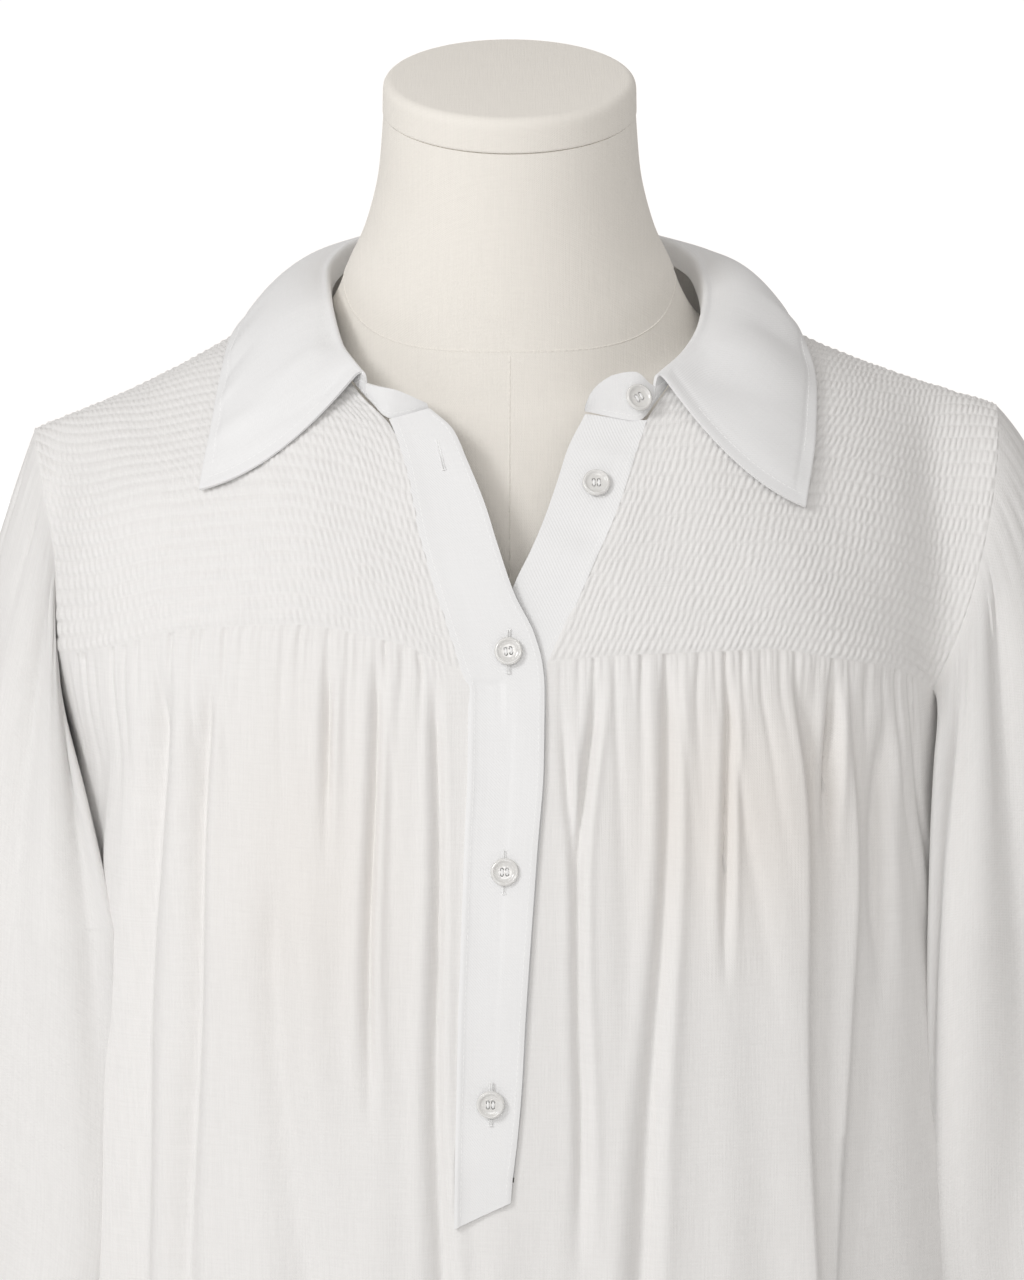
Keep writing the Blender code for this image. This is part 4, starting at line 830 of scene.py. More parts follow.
def fold_profile(t):
    """A narrow valley with a soft ridge on each side."""
    return -1 / np.cosh(1.8 * np.clip(t, -9, 9)) + 0.34 * np.exp(-((t - 1.9) / 1.0) ** 2) \
        + 0.26 * np.exp(-((t + 2.1) / 1.2) ** 2)


def steps(x, z, table):
    """Sum of -tanh(s / w) * exp(-(|s| / reach) ** 1.5) over the ridges' distances s."""
    total = np.zeros(np.broadcast(x, z).shape)
    for *widths, first, last, tall, wide, reach in table:
        centre = smooth(z, list(zip(FOLD_HEIGHTS, widths))) + 0.08 * np.sin(z * 0.27 + tall * 30)
        s = x - centre
        fade = ease((first - z) / 5.0) * (1 - ease((last + 8 - z) / 8))
        total -= tall * fade * np.tanh(s / wide) * np.exp(-(np.abs(s) / reach) ** 1.5)
    return total


def folds(x, z, table):
    """Sum of folds; each fades in below the seam and out at its end."""
    total = np.zeros(np.broadcast(x, z).shape)
    for *widths, first, last, depth, reach in table:
        centre = smooth(z, list(zip(FOLD_HEIGHTS, widths)))
        centre = centre + 0.10 * np.sin(z * 0.31 + depth * 40)
        grown = reach * (0.62 + 0.7 * ease((-z - 18) / 40))
        fade = ease((first - z) / 3.5) * (1 - ease((last + 6 - z) / 6))
        total += depth * fade * fold_profile((x - centre) / grown)
    return total


def gathers(g, d, seed, pitch=0.85, tall=0.12):
    """Narrow valleys that start at a seam, widen, drift and die out.

    A valley is a bell across the cloth times a fall-off over its own reach;
    between the long ones lie short finer ones.
    """
    low, high = float(g.min()), float(g.max())
    chance = np.random.default_rng(seed)
    total = np.zeros(g.shape)
    for step, deep, least, more, narrow in ((pitch, tall, 1.6, 2.4, 0.105),
                                            (0.42 * pitch, 0.6 * tall, 0.5, 0.45, 0.08)):
        count = int((high - low) / step)
        centre = low + (np.arange(count) + 0.5 + chance.uniform(-0.3, 0.3, count)) * step
        reach = least + chance.gamma(1.4, more, count)
        depth = deep * chance.uniform(0.55, 1.3, count)
        drift = chance.uniform(-0.05, 0.05, count)
        for c, long_, sunk, slant in zip(centre, reach, depth, drift):
            middle = c + slant * d
            wide = narrow + 0.022 * d
            near = np.abs(g - middle) < 3.2 * wide
            bell = np.where(near, np.exp(-((g - middle) / wide) ** 2), 0)
            total -= sunk * bell * np.exp(-(d / long_) ** 1.6)
    return (total + 0.03 * np.exp(-(d / 3.0))) * ease(d / 0.12)


def rows_down(stops):
    """Shares of the way down, with finer steps near the seam: (reach, step) in centimetres."""
    place, at = [0.0], 0.0
    for until, step in stops:
        while at < until - 1e-6:
            at += step
            place.append(min(at, until))
    return np.array(place) / stops[-1][0]


def lies_on_bust(points):
    """Share of warm tone where the cloth rests on the form behind it."""
    x, y, z = points.T
    left = np.exp(-((x + 7.8) / 4.2) ** 2 - ((z + 22.5) / 7.5) ** 2)
    right = np.exp(-((x - 9.6) / 4.6) ** 2 - ((z + 20.0) / 5.0) ** 2)
    return 0.10 + (0.22 * left + 0.34 * right) * (y < 0)


def front_panel():
    half_count, arm_count, between = 316, 44, 22
    down = rows_down([(5.0, 0.20), (20.0, 0.36), (58.3, 1.0)])
    notch_at = 0.359
    down[np.argmin(np.abs(down - notch_at))] = notch_at
    stop = int(np.argmin(np.abs(down - notch_at)))
    down = down[:, None]

    def half(corner_x, corner_z, inner_x, notch, shift):
        turn, top = panel_top(half_count, arm_count, corner_x, corner_z, inner_x, FRONT_SEAM_Z)
        z = top[None, :] + (HEM - top[None, :]) * down
        share = np.linspace(0, 1, half_count)[None, :]
        edge = smooth(z[:, -1], notch) + shift
        low = blend(turn[0], turn_of(edge[-1:], np.array([HEM]))[0], share)
        mixed = blend(turn[None, :], low, down ** 0.7)
        wanted = turn_of(edge, z[:, -1])[:, None]
        return mixed + share ** 6 * (wanted - mixed[:, -1:]), z

    turn_a, z_a = half(-19.2, -15.1, -1.9, NOTCH_RIGHT_SIDE, GAP)
    turn_b, z_b = half(17.8, -16.4, 1.55, NOTCH_LEFT_SIDE, -GAP)
    share = np.linspace(0, 1, between)[None, :]
    turn_m = blend(turn_a[stop:, -1:], turn_b[stop:, -1:], share)
    z_m = blend(z_a[stop:, -1:], z_b[stop:, -1:], share)
    patches = []
    for turn, z, seed, spans in ((turn_a, z_a, 11, {"top": None, "bottom": None, "left": None,
                                                    "right": (0, stop)}),
                                 (turn_b[:, ::-1], z_b[:, ::-1], 23,
                                  {"top": None, "bottom": None, "left": (0, stop),
                                   "right": None}),
                                 (turn_m, z_m, 0, {"top": None, "bottom": None})):
        point, out = ring_point(turn, z)
        x = point[..., 0]
        calm = ease((np.abs(x + 0.4 + 0.03 * (z + 14)) - 1.75) / 1.2)
        below = blend(1.0, calm, ease((z - NOTCH_BOTTOM + 3) / 3))
        calm = np.where(z < NOTCH_BOTTOM - 3, 1.0, np.where(z < NOTCH_BOTTOM, below, calm))
        side = ease((math.pi / 2 - np.abs(turn)) / 0.16)
        rise = FOLD_DEPTH * (folds(x, z, FRONT_FOLDS) + steps(x, z, FRONT_STEPS))
        if seed:
            along = walked(point, 1)
            g = np.repeat(along[:1], len(down), axis=0)
            d = z[:1] - z
            fine = gathers(g, d, seed)
            edge = arm_count + 2
            from_arm = np.arange(half_count) if seed == 11 else np.arange(half_count)[::-1]
            hold = ease((from_arm - edge) / 14.0)
            fine = fine * hold[None, :]
            rise = rise + fine * ease((np.abs(x + 0.4 + 0.03 * (z + 14)) - 1.6) / 0.5)
            arm = 1 - hold[None, :]
            rise = rise * (1 - arm * (1 - ease(down / 0.2)))
        rise = rise + 0.35 * ease((-z - 25) / 48) * np.cos(x * 1.35 + 0.6)
        rise = rise + 0.035 * np.sin(x * 2.6 + z * 0.09) * ease((-z - 16) / 6)
        point = point + out * (rise * np.maximum(calm, 0) * side)[..., None]
        uv = np.stack([x * 1.1, z], -1)
        rows_in = np.unique(np.concatenate([pick(len(down), 3), [stop]]))
        if not seed:
            rows_in = rows_in[rows_in >= stop] - stop
        patches.append(patch(point, point - COTTON_WALL * out, uv, (3, 3), rows_in=rows_in, rims=spans))
    return make("front_panel", patches, COTTON, ["front_panel"],
                mask=lies_on_bust)


def back_panel():
    count = 180
    turn_a, top_a = panel_top(count, 26, -19.3, -13.5, 0.0, BACK_SEAM_Z)
    turn_b, top_b = panel_top(count, 26, 18.8, -13.5, 0.0, BACK_SEAM_Z)
    top_turn = np.concatenate([turn_a, turn_b[-2::-1]])
    top = np.concatenate([top_a, top_b[-2::-1]])[None, :]
    down = rows_down([(5.0, 0.25), (20.0, 0.5), (59.0, 1.1)])[:, None]
    z = top + (HEM - top) * down
    low = np.linspace(-math.pi / 2, math.pi / 2, len(top_turn))[None, :]
    turn = blend(top_turn[None, :], low, down ** 0.7)
    point, out = ring_point(turn, z, False)
    x = point[..., 0]
    side = ease((math.pi / 2 - np.abs(turn)) / 0.16)
    g = np.repeat(walked(point, 1)[:1], len(down), axis=0)
    index = np.arange(len(top_turn))
    hold = ease((np.minimum(index, index[::-1]) - 28) / 9.0)[None, :]
    rise = folds(x, z, BACK_FOLDS) * (1 - (1 - hold) * (1 - ease(down / 0.2)))
    rise = rise + gathers(g, top - z, 5) * hold
    rise = rise + 0.35 * ease((-z - 25) / 48) * np.cos(x * 1.2)
    point = point + out * (rise * side)[..., None]
    uv = np.stack([x * 1.1, z], -1)
    return make("back_panel", [patch(point, point - COTTON_WALL * out, uv, (3, 3))], COTTON,
                ["back_panel"], mask=lies_on_shoulder)


# Placket bands

SEWN_OVER = 0.10           # how far a band's sewn edge lies over the cloth beside it
SEWN_RISE = 0.055


def band_grid(edges, rows, cols, over_left, over_right):
    table = np.array(edges)
    place = np.linspace(0, 1, len(table))
    at = np.linspace(0, 1, rows)
    z_l, x_l, z_r, x_r = [smooth(at, list(zip(place, column)))[:, None] for column in table.T]
    share = np.linspace(0, 1, cols)[None, :]
    return blend(x_l - over_left, x_r + over_right, share), blend(z_l, z_r, share), share


def placket_over():
    """The upper band: sewn ridge at the left, a fold in its middle, a stitched step."""
    rows, cols = 240, 54
    x, z, share = band_grid(OVER_EDGES, rows, cols, SEWN_OVER, 0.0)
    sewn = BAND_LIFT * share
    lift = np.maximum(sewn, BAND_LIFT * ease((-32.5 - z) / 2.2))
    below = ease((-14.6 - z) / 0.35)
    ridge = np.exp(-((share - 0.05) / 0.05) ** 2) * below
    right = ease((share - 0.55) / 0.09) * ease((-14.9 - z) / 1.5) * (1 - ease((-24 - z) / 10))
    step = below * (1 - ease((-15.0 - z) / 2.2)) * (1 - ease((share - 0.42) / 0.10))
    point, normal = join(x, front_y(x, z), z), front_normal(x, z)
    wave = 0.03 * np.sin(z * 1.1 + 1.2 * share) * share * (1 - share) * 4
    crisp = 0.02 * ease((share - 0.5) / 0.4) + 0.05 * ridge + 0.035 * right - 0.10 * step
    crisp = crisp + SEWN_RISE * (1 - ease(share / 0.3))
    edge = -0.035 * np.exp(-((1 - share) / 0.035) ** 2)
    lift = lift + wave + crisp + edge
    outer = point + normal * lift[..., None]
    uv = np.stack([share * 3.2 + 0 * x, z], -1)
    return make("placket_over", [patch(outer, outer - TWILL_WALL * normal, uv, (4, 4))], TWILL,
                ["placket_over"]), (outer, normal)


def placket_under():
    rows, cols = 200, 48
    x, z, share = band_grid(UNDER_EDGES, rows, cols, 0.0, SEWN_OVER)
    lift = BAND_LIFT * (share - 1)
    point, normal = join(x, front_y(x, z), z), front_normal(x, z)
    high = ease((z + 12.6) / 1.5)
    soft = 0.05 * np.exp(-((z + 5.95 + 0.25 * (x - 4)) / 0.45) ** 2) \
        - 0.06 * np.exp(-((z + 8.8 + 0.18 * (x - 3)) / 0.55) ** 2) \
        + 0.04 * np.exp(-((z + 9.9 + 0.18 * (x - 3)) / 0.5) ** 2)
    ridge = 0.02 * np.exp(-((1 - share) / 0.05) ** 2) + SEWN_RISE * (1 - ease((1 - share) / 0.3))
    lift = lift + (soft * 4 * share * (1 - share) ** 0.5 + ridge) * high
    outer = point + normal * lift[..., None]
    uv = np.stack([share * 3.0 + 0 * x, z], -1)
    return make("placket_under", [patch(outer, outer - TWILL_WALL * normal, uv, (4, 4))], TWILL,
                ["placket_under"]), (outer, normal)


# Sleeves and cuffs

SLEEVE_FINE = 220
SLEEVE_HUG = 3.0           # how far the front of a sleeve leans in over the side seam
# turn in degrees at -20 and at -56, first and last height, depth, reach in degrees
SLEEVE_FOLDS = {
    1: [(62, 70, -9, -60, 0.42, 13), (96, 88, -14, -58, 0.5, 15), (128, 116, -16, -57, 0.4, 13),
        (30, 40, -12, -59, 0.45, 14), (-8, 6, -10, -60, 0.42, 16), (-48, -36, -12, -58, 0.5, 17),
        (-92, -80, -16, -60, 0.4, 15)],
    -1: [(60, 64, -10, -60, 0.42, 13), (92, 96, -15, -58, 0.45, 14), (122, 126, -18, -56, 0.35, 12),
         (26, 20, -12, -60, 0.42, 14), (-16, -10, -11, -58, 0.45, 16),
         (-56, -44, -12, -60, 0.45, 17), (-96, -90, -16, -58, 0.4, 15)]}


def armhole(side, around):
    """The armhole as a closed loop that starts at the shoulder and runs forward."""
    angle = ARC * np.linspace(0, 1, 160)
    if side < 0:
        yoke_edge, back_edge, start = ARM_EDGE_WEARER_RIGHT, ARM_EDGE_BACK_RIGHT, -20
        corner, corner_z, back_corner = -19.2, -15.1, -19.3
    else:
        yoke_edge, back_edge, start = ARM_EDGE_WEARER_LEFT, ARM_EDGE_BACK_LEFT, 20
        corner, corner_z, back_corner = 17.8, -16.4, 18.8
    front = yoke_point(edge_x(angle, yoke_edge, start), angle)
    turn, z = panel_top(80, 40, corner, corner_z, 0.0, FRONT_SEAM_Z)
    down_front = ring_point(turn[:41][::-1], z[:41][::-1])[0]
    turn, z = panel_top(80, 40, back_corner, -13.5, 0.0, BACK_SEAM_Z)
    up_back = ring_point(turn[:41], z[:41], False)[0]
    back = yoke_point(edge_x(angle[::-1], back_edge, start, False), angle[::-1], False)
    loops = []
    for half in (np.concatenate([front, down_front]), np.concatenate([up_back, back])):
        length = np.concatenate(([0], np.cumsum(np.linalg.norm(np.diff(half, axis=0), axis=1))))
        at = np.linspace(0, length[-1], around // 2 + 1)[:-1]
        loops.append(np.stack([np.interp(at, length, half[:, k]) for k in range(3)], axis=1))
    return np.concatenate(loops)


def sleeve(name, side, reach_out, round_out, seed):
    loop = armhole(side, SLEEVE_FINE)
    psi = np.arange(SLEEVE_FINE) * 2 * math.pi / SLEEVE_FINE
    tangent = unit((np.roll(loop, -1, axis=0) - np.roll(loop, 1, axis=0))[:, 1:])
    inward = join(0.0, tangent[:, 1], -tangent[:, 0])
    inward *= np.sign(np.sum(inward * (loop.mean(axis=0) - loop), axis=1))[:, None]
    tables = [[(z, row[k]) for z, row in SLEEVE_RINGS.items()] for k in range(6)]

    def ring(z):
        centre, wide, deep, y, lean, round_ = [float(smooth(np.array(z), t)) for t in tables]
        outward = np.sign(np.cos(psi)) * np.abs(np.cos(psi)) ** round_
        forward = np.sign(np.sin(psi)) * np.abs(np.sin(psi)) ** round_
        hug = SLEEVE_HUG * math.sin(math.pi * min(1.0, max(0.0, (-10 - z) / 52)))
        lean_in = lean * forward + hug * np.maximum(forward, 0) ** 4
        return join(side * (centre + reach_out + wide * outward - lean_in),
                    y - deep * forward, z)

    start, end = loop - (side * 0.02, 0, 0), ring(-26.0)
    head = np.concatenate([[0, 0.006, 0.014], np.linspace(0.025, 1.0, 58)])
    rows = []
    for t in head:
        swing = (1 - round_out) * t + round_out * math.sin(math.pi * t / 2)
        drop = (1 - round_out) * t + round_out * (1 - math.cos(math.pi * t / 2))
        ease_off = side * 0.35 * math.sin(math.pi * t ** 0.6) * (0.55 - 0.45 * np.cos(psi))
        rows.append(join(blend(start[:, 0], end[:, 0], swing) + ease_off,
                         blend(start[:, 1], end[:, 1], t), blend(start[:, 2], end[:, 2], drop)))
    levels = np.concatenate([np.linspace(-26.6, -54, 46), np.linspace(-54.4, -60, 22)])
    rows += [ring(z) for z in levels]
    point = np.array(rows)
    out = unit(np.cross(np.roll(point, -1, axis=1) - np.roll(point, 1, axis=1),
                        np.gradient(point, axis=0)))
    middle = len(head) + 8
    out *= np.sign(np.sum(out[middle] * (point[middle] - point[middle].mean(axis=0)),
                          axis=1)).mean()
    keep = ease(np.arange(len(rows)) / 4.0)[:, None, None]
    out = unit(out * keep + (-inward)[None] * (1 - keep))
    d = walked(point)
    seam = walked(np.concatenate([loop, loop[:1]])[None], 1)[0]
    g = np.repeat(seam[None, :-1], len(rows), axis=0)
    turn = np.degrees(psi)[None, :]
    turn = np.where(turn > 180, turn - 360, turn)
    upper = ease((np.cos(psi)[None, :] + 0.5) / 0.4)
    rise = gathers(g, d, seed, 1.05, 0.15) * upper
    z = point[..., 2]
    for high, low, first, last, depth, reach in SLEEVE_FOLDS[side]:
        centre = blend(high, low, ease((-20 - z) / 36)) + 3 * np.sin(z * 0.22 + high)
        off = (turn - centre + 180) % 360 - 180
        fade = ease((first - z) / 6.0) * (1 - ease((last + 5 - z) / 5))
        reach = reach * (0.55 + 0.35 * ease((-z - 15) / 25))
        rise = rise + depth * fade * fold_profile(off / reach)
    inner_side = 0.25 + 0.75 * ease((np.cos(psi)[None, :] + 0.75) / 0.3)
    rise = rise * np.where(d > 3, 1, ease(d / 3.0) * 0.8 + 0.2)
    rise = rise * blend(1.0, inner_side, ease(d / 2.0))
    low_end = d[-1:] - d
    cuff_gathers = gathers(g * 0.55, low_end, seed + 3, 0.60, 0.14)
    rise = rise * ease(low_end / 2.5) + cuff_gathers
    rise = rise * ease(d / 0.2)
    point = point + out * rise[..., None]
    closed = np.concatenate([point, point[:, :1]], axis=1)
    outward = np.concatenate([out, out[:, :1]], axis=1)
    uv = np.stack([np.repeat(seam[None], len(rows), 0),
                   -np.concatenate([d, d[:, :1]], axis=1)], -1)
    part = patch(closed, closed - COTTON_WALL * outward, uv, (3, 4), rims={"top": None, "bottom": None})
    made = make(name, [part], COTTON, [name], mask=lies_on_shoulder)
    weld(made)
    return made


CUFF_RINGS = ((-60.07, 25.0, 2.8, 4.1, -2.5), (-63.0, 24.9, 2.8, 4.1, -2.55),
              (-66.0, 24.8, 2.7, 4.05, -2.6))


def cuff(name, side, reach_out):
    around, rows = 128, 28
    psi = np.linspace(0, 2 * math.pi, around + 1)[None, :]
    table = np.array(CUFF_RINGS)
    z = np.linspace(table[0, 0], table[-1, 0], rows)[:, None]
    c, w, d, y = [smooth(z, list(zip(table[:, 0], column))) for column in table[:, 1:].T]
    out = unit(join(side * d * np.cos(psi) / w, -np.sin(psi), 0 * z * psi))
    point = join(side * (c + reach_out + w * np.cos(psi)), y - d * np.sin(psi), z + 0 * psi)
    degrees = np.degrees(psi)
    lap = 0.07 * ease((degrees - 58) / 3) * (1 - ease((degrees - 150) / 60))
    ends = 0.03 * (np.exp(-((z - z[0]) / 0.25) ** 2) + np.exp(-((z - z[-1]) / 0.25) ** 2))
    outer = point + out * (lap + ends)[..., None]
    uv = np.stack([psi * 3.5 + 0 * z, z + 0 * psi], -1)
    part = patch(outer, point - 0.15 * out, uv, (3, 3), rims={"top": None, "bottom": None})
    made = make(name, [part], TWILL, [name])
    weld(made)
    return made


# Collar


def collar_stand():
    count = 220
    foot, top = stand_tables()
    foot, top = stations(foot, count), stations(top, count)
    round_end = np.clip((np.linspace(0, 1, count) - 0.962) / 0.038, 0, 1)
    top = blend(foot, top, np.sqrt(1.0 - 0.97 * round_end ** 2.4)[:, None])
    share = np.linspace(0, 1, 14)[:, None, None]
    point = blend(foot[None], top[None], share)
    out = unit(np.cross(np.gradient(foot, axis=0)[None], (top - foot)[None]))
    out = np.repeat(out, 14, axis=0)
    out *= np.sign(np.sum(out * (point - (0, 0.5, 0)) * (1, 1, 0), axis=-1))[..., None]
    bulge = 0.05 * np.sin(math.pi * share[..., 0]) + 0 * point[..., 0]
    point = point + out * bulge[..., None]
    length = walked(foot[None], 1)[0]
    uv = np.stack([length[None, :] + 0 * point[..., 0], share[..., 0] * 3 + 0 * point[..., 0]], -1)
    made = make("collar_stand", [patch(point, point - TWILL_WALL * out, uv, (3, 3))], TWILL,
                ["collar_stand"])
    return made, (point, out)


# Soft troughs of the leaf: station share and reach, share down the leaf and
# reach, slant, depth
LEAF_CREASES = [(0.05, 0.018, 0.30, 0.35, 0.05, -0.16), (0.10, 0.02, 0.75, 0.25, 0.05, 0.11),
                (0.17, 0.012, 0.92, 0.16, -0.02, 0.10), (0.205, 0.010, 0.86, 0.2, 0.0, -0.08),
                (0.235, 0.012, 0.92, 0.2, 0.0, 0.08), (0.27, 0.016, 0.82, 0.25, 0.02, -0.10),
                (0.14, 0.022, 0.2, 0.3, -0.06, 0.13),
                (0.93, 0.020, 0.42, 0.34, -0.07, -0.22), (0.885, 0.022, 0.45, 0.36, -0.04, 0.16),
                (0.835, 0.018, 0.60, 0.30, -0.03, -0.19), (0.79, 0.016, 0.8, 0.25, 0.0, 0.13),
                (0.975, 0.018, 0.75, 0.3, 0.0, 0.10)]


def collar_leaf():
    count = 300
    fold, edge = stations(LEAF_FOLD, count), stations(LEAF_EDGE, count)
    bow = stations(LEAF_BOW, count)
    flat = unit((edge - fold) * (1, 1, 0))
    roll = 0.24
    start = fold + (0, 0, 0.14) + flat * (2 * roll)
    rise_rows = [fold - (0, 0, 0.75) - flat * 0.02, fold + (0, 0, 0.10) + flat * 0.05,
                 fold + (0, 0, 0.24) + flat * roll, start]
    turn = np.linspace(0, 1, 16, endpoint=False)
    ctrl = np.array(rise_rows)
    place = np.arange(4) / 3.0
    rows = []
    for t in turn:
        weights = [np.interp(t, place, np.eye(4)[k]) for k in range(4)]
        rows.append(sum(w * ctrl[k] for k, w in enumerate(weights)))
    leaf = np.concatenate([np.linspace(0, 0.86, 44), np.linspace(0.875, 1.0, 16)])
    for s in leaf:
        p = blend(start, edge, s)
        p[:, 1:] += bow * 4 * s * (1 - s)
        rows.append(p)
    point = np.array(rows)
    first = len(turn)
    for _ in range(4):
        point[1:first + 3] = (point[:first + 2] + 2 * point[1:first + 3] + point[2:first + 4]) / 4
    out = unit(np.cross(np.gradient(point, axis=1), np.gradient(point, axis=0)))
    out *= np.sign(out[-2, :, 2].mean())
    v, u = walked(point), walked(point, 1)
    to_edge = np.minimum(v[-1:] - v, np.minimum(u, u[:, -1:] - u))
    to_edge = np.where(np.arange(len(rows))[:, None] < first, 9.0, to_edge)
    rim = 0.045 * (1 - ease(to_edge / 0.42)) - 0.03 * np.exp(-((to_edge - 0.58) / 0.16) ** 2)
    rim = rim * (1 - ease((0.03 - to_edge) / 0.03) * 0.6)
    station = np.linspace(0, 1, count)[None, :]
    down = np.concatenate([np.zeros(first), leaf])[:, None]
    crease = 0.0
    for at, wide, low, tall, slant, depth in LEAF_CREASES:
        crease = crease + depth * np.exp(-((station - at - slant * (down - low)) / wide) ** 2
                                         - ((down - low) / tall) ** 2)
    crease = crease * ease(down / 0.15) * ease(to_edge / 0.6)
    outer = point + out * (rim + crease)[..., None]
    inner = point + out * crease[..., None] - TWILL_WALL * out
    uv = np.stack([np.repeat(u[-20:-19], len(rows), 0), v], -1)
    made = make("collar_leaf", [patch(outer, inner, uv, (2, 3))], TWILL,
                ["collar_leaf"])
    return made, (outer, out)


# Buttons

PROFILE_OUT = [(0.0, 0.02), (0.30, 0.02), (0.46, 0.0), (0.55, 0.05), (0.575, 0.11), (0.565, 0.18),
               (0.53, 0.225), (0.49, 0.235), (0.455, 0.225), (0.42, 0.18), (0.37, 0.15),
               (0.25, 0.14), (0.0, 0.14)]


def button_mesh():
    around = 40
    shape = bmesh.new()
    ring = [shape.verts.new((r * CM, 0, h * CM)) for r, h in PROFILE_OUT]
    edges = [shape.edges.new((a, b)) for a, b in zip(ring[:-1], ring[1:])]
    bmesh.ops.spin(shape, geom=ring + edges, cent=(0, 0, 0), axis=(0, 0, 1),
                   angle=2 * math.pi, steps=around, use_merge=True)
    bmesh.ops.remove_doubles(shape, verts=shape.verts[:], dist=1e-6)
    bmesh.ops.recalc_face_normals(shape, faces=shape.faces[:])
    mesh = bpy.data.meshes.new("button")
    shape.to_mesh(mesh)
    shape.free()
    cutter = bmesh.new()
    for k in range(4):
        a = math.pi / 4 + k * math.pi / 2
        made_ring = bmesh.ops.create_cone(cutter, cap_ends=True, segments=14, radius1=0.0008,
                                          radius2=0.0008, depth=0.01)
        bmesh.ops.translate(cutter, verts=made_ring["verts"],
                            vec=(0.0015 * math.cos(a), 0.0015 * math.sin(a), 0.001))
    tool_mesh = bpy.data.meshes.new("holes")
    cutter.to_mesh(tool_mesh)
    cutter.free()
    body = bpy.data.objects.new("button_body", mesh)
    tool = bpy.data.objects.new("button_holes", tool_mesh)
    for o in (body, tool):
        bpy.context.scene.collection.objects.link(o)
    cut = body.modifiers.new("holes", "BOOLEAN")
    cut.operation, cut.solver, cut.object = "DIFFERENCE", "EXACT", tool
    bpy.context.view_layer.update()
    done = bpy.data.meshes.new_from_object(
        body.evaluated_get(bpy.context.evaluated_depsgraph_get()))
    for o in (body, tool):
        bpy.data.objects.remove(o, do_unlink=True)
    return done


def rod(a, b, radius, sides=7):
    """A short rounded rod from a to b, as points and faces, in centimetres."""
    a, b = np.asarray(a, float), np.asarray(b, float)
    axis = unit(b - a)
    aside = unit(np.cross(axis, (0.31, 0.52, 0.8)))
    other = np.cross(axis, aside)
    turn = np.arange(sides) * 2 * math.pi / sides
    swell = [(0.0, 0.5), (0.2, 1.0), (0.8, 1.0), (1.0, 0.5)]
    points = np.concatenate([a + (b - a) * t + radius * r * (np.cos(turn)[:, None] * aside
                             + np.sin(turn)[:, None] * other) for t, r in swell])
    faces = [tuple(range(sides))[::-1], tuple(range(3 * sides, 4 * sides))]
    for k in range(3):
        for c in range(sides):
            d = (c + 1) % sides
            faces.append((k * sides + c, k * sides + d, (k + 1) * sides + d, (k + 1) * sides + c))
    return points, faces


def bundle(name, rods, material):
    """Many rods in one mesh."""
    points, faces, first = [], [], 0
    for p, f in rods:
        points.append(p)
        faces += [tuple(i + first for i in face) for face in f]
        first += len(p)
    points = np.concatenate(points)
    uv = points[:, [0, 2]]
    made = make(name, [(points, faces, uv)], material)
    shape = bmesh.new()
    shape.from_mesh(made.data)
    bmesh.ops.recalc_face_normals(shape, faces=shape.faces[:])
    shape.to_mesh(made.data)
    shape.free()
    return made


def stitches(line, out, pitch=0.26, length=0.19, radius=0.017, sink=0.004):
    """Rods along a line of points, one for each stitch, lying on the cloth."""
    length_at = np.concatenate(([0], np.cumsum(np.linalg.norm(np.diff(line, axis=0), axis=1))))
    rods = []
    for at in np.arange(pitch / 2, length_at[-1] - length, pitch):
        ends = [np.array([np.interp(at + s * length, length_at, line[:, k]) for k in range(3)])
                for s in (0, 1)]
        lift = unit(np.array([np.interp(at, length_at, out[:, k]) for k in range(3)]))
        rods.append(rod(ends[0] - lift * sink, ends[1] - lift * sink, radius, 5))
    return rods


def grid_line(grid, inset, side):
    """Line of points at a distance in from one side of a grid, with its normals."""
    point, out = grid
    if side in ("left", "right"):
        point, out = point.transpose(1, 0, 2), out.transpose(1, 0, 2)
    if side in ("right", "bottom"):
        point, out = point[::-1], out[::-1]
    d = walked(point)
    row = np.array([np.interp(inset, d[:, c], np.arange(len(d))) for c in range(d.shape[1])])
    low = np.clip(np.floor(row).astype(int), 0, len(d) - 2)
    share = (row - low)[:, None]
    cols = np.arange(d.shape[1])
    return (blend(point[low, cols], point[low + 1, cols], share),
            blend(out[low, cols], out[low + 1, cols], share))


def place_button(name, mesh, place, out, turn_deg=0.0):
    out = unit(np.asarray(out, float))
    side = unit(np.cross((0.0, 0.0, 1.0), out))
    up = np.cross(out, side)
    a = math.radians(turn_deg)
    side, up = side * math.cos(a) + up * math.sin(a), up * math.cos(a) - side * math.sin(a)
    frame_ = np.stack([side, up, out], axis=1)
    own = mesh.copy()
    own.name = name
    bottom = (np.asarray(place, float) + (0, 0, NECK_POINT)) * CM
    for v in own.vertices:
        v.co = Vector(frame_ @ np.array(v.co) + bottom)
    own.shade_smooth()
    own.set_sharp_from_angle(angle=math.radians(40))
    own.materials.clear()
    own.materials.append(PEARL)
    made = bpy.data.objects.new(name + "_piece", own)
    bpy.context.scene.collection.objects.link(made)
    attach(made, "root")
    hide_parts(name)
    rods = []
    for k in (-1, 1):
        hole = 0.106
        a_, b_ = place + side * hole * k + up * hole, place + side * hole * k - up * hole
        rods.append(rod(a_ + out * 0.155, b_ + out * 0.155, 0.042, 8))
        rods.append(rod(a_ + side * 0.03 + out * 0.15, b_ + side * 0.03 + out * 0.15, 0.036, 8))
        for end in (a_, b_):
            rods.append(rod(end + out * 0.17, end - out * 0.05, 0.045, 8))
    return made, rods


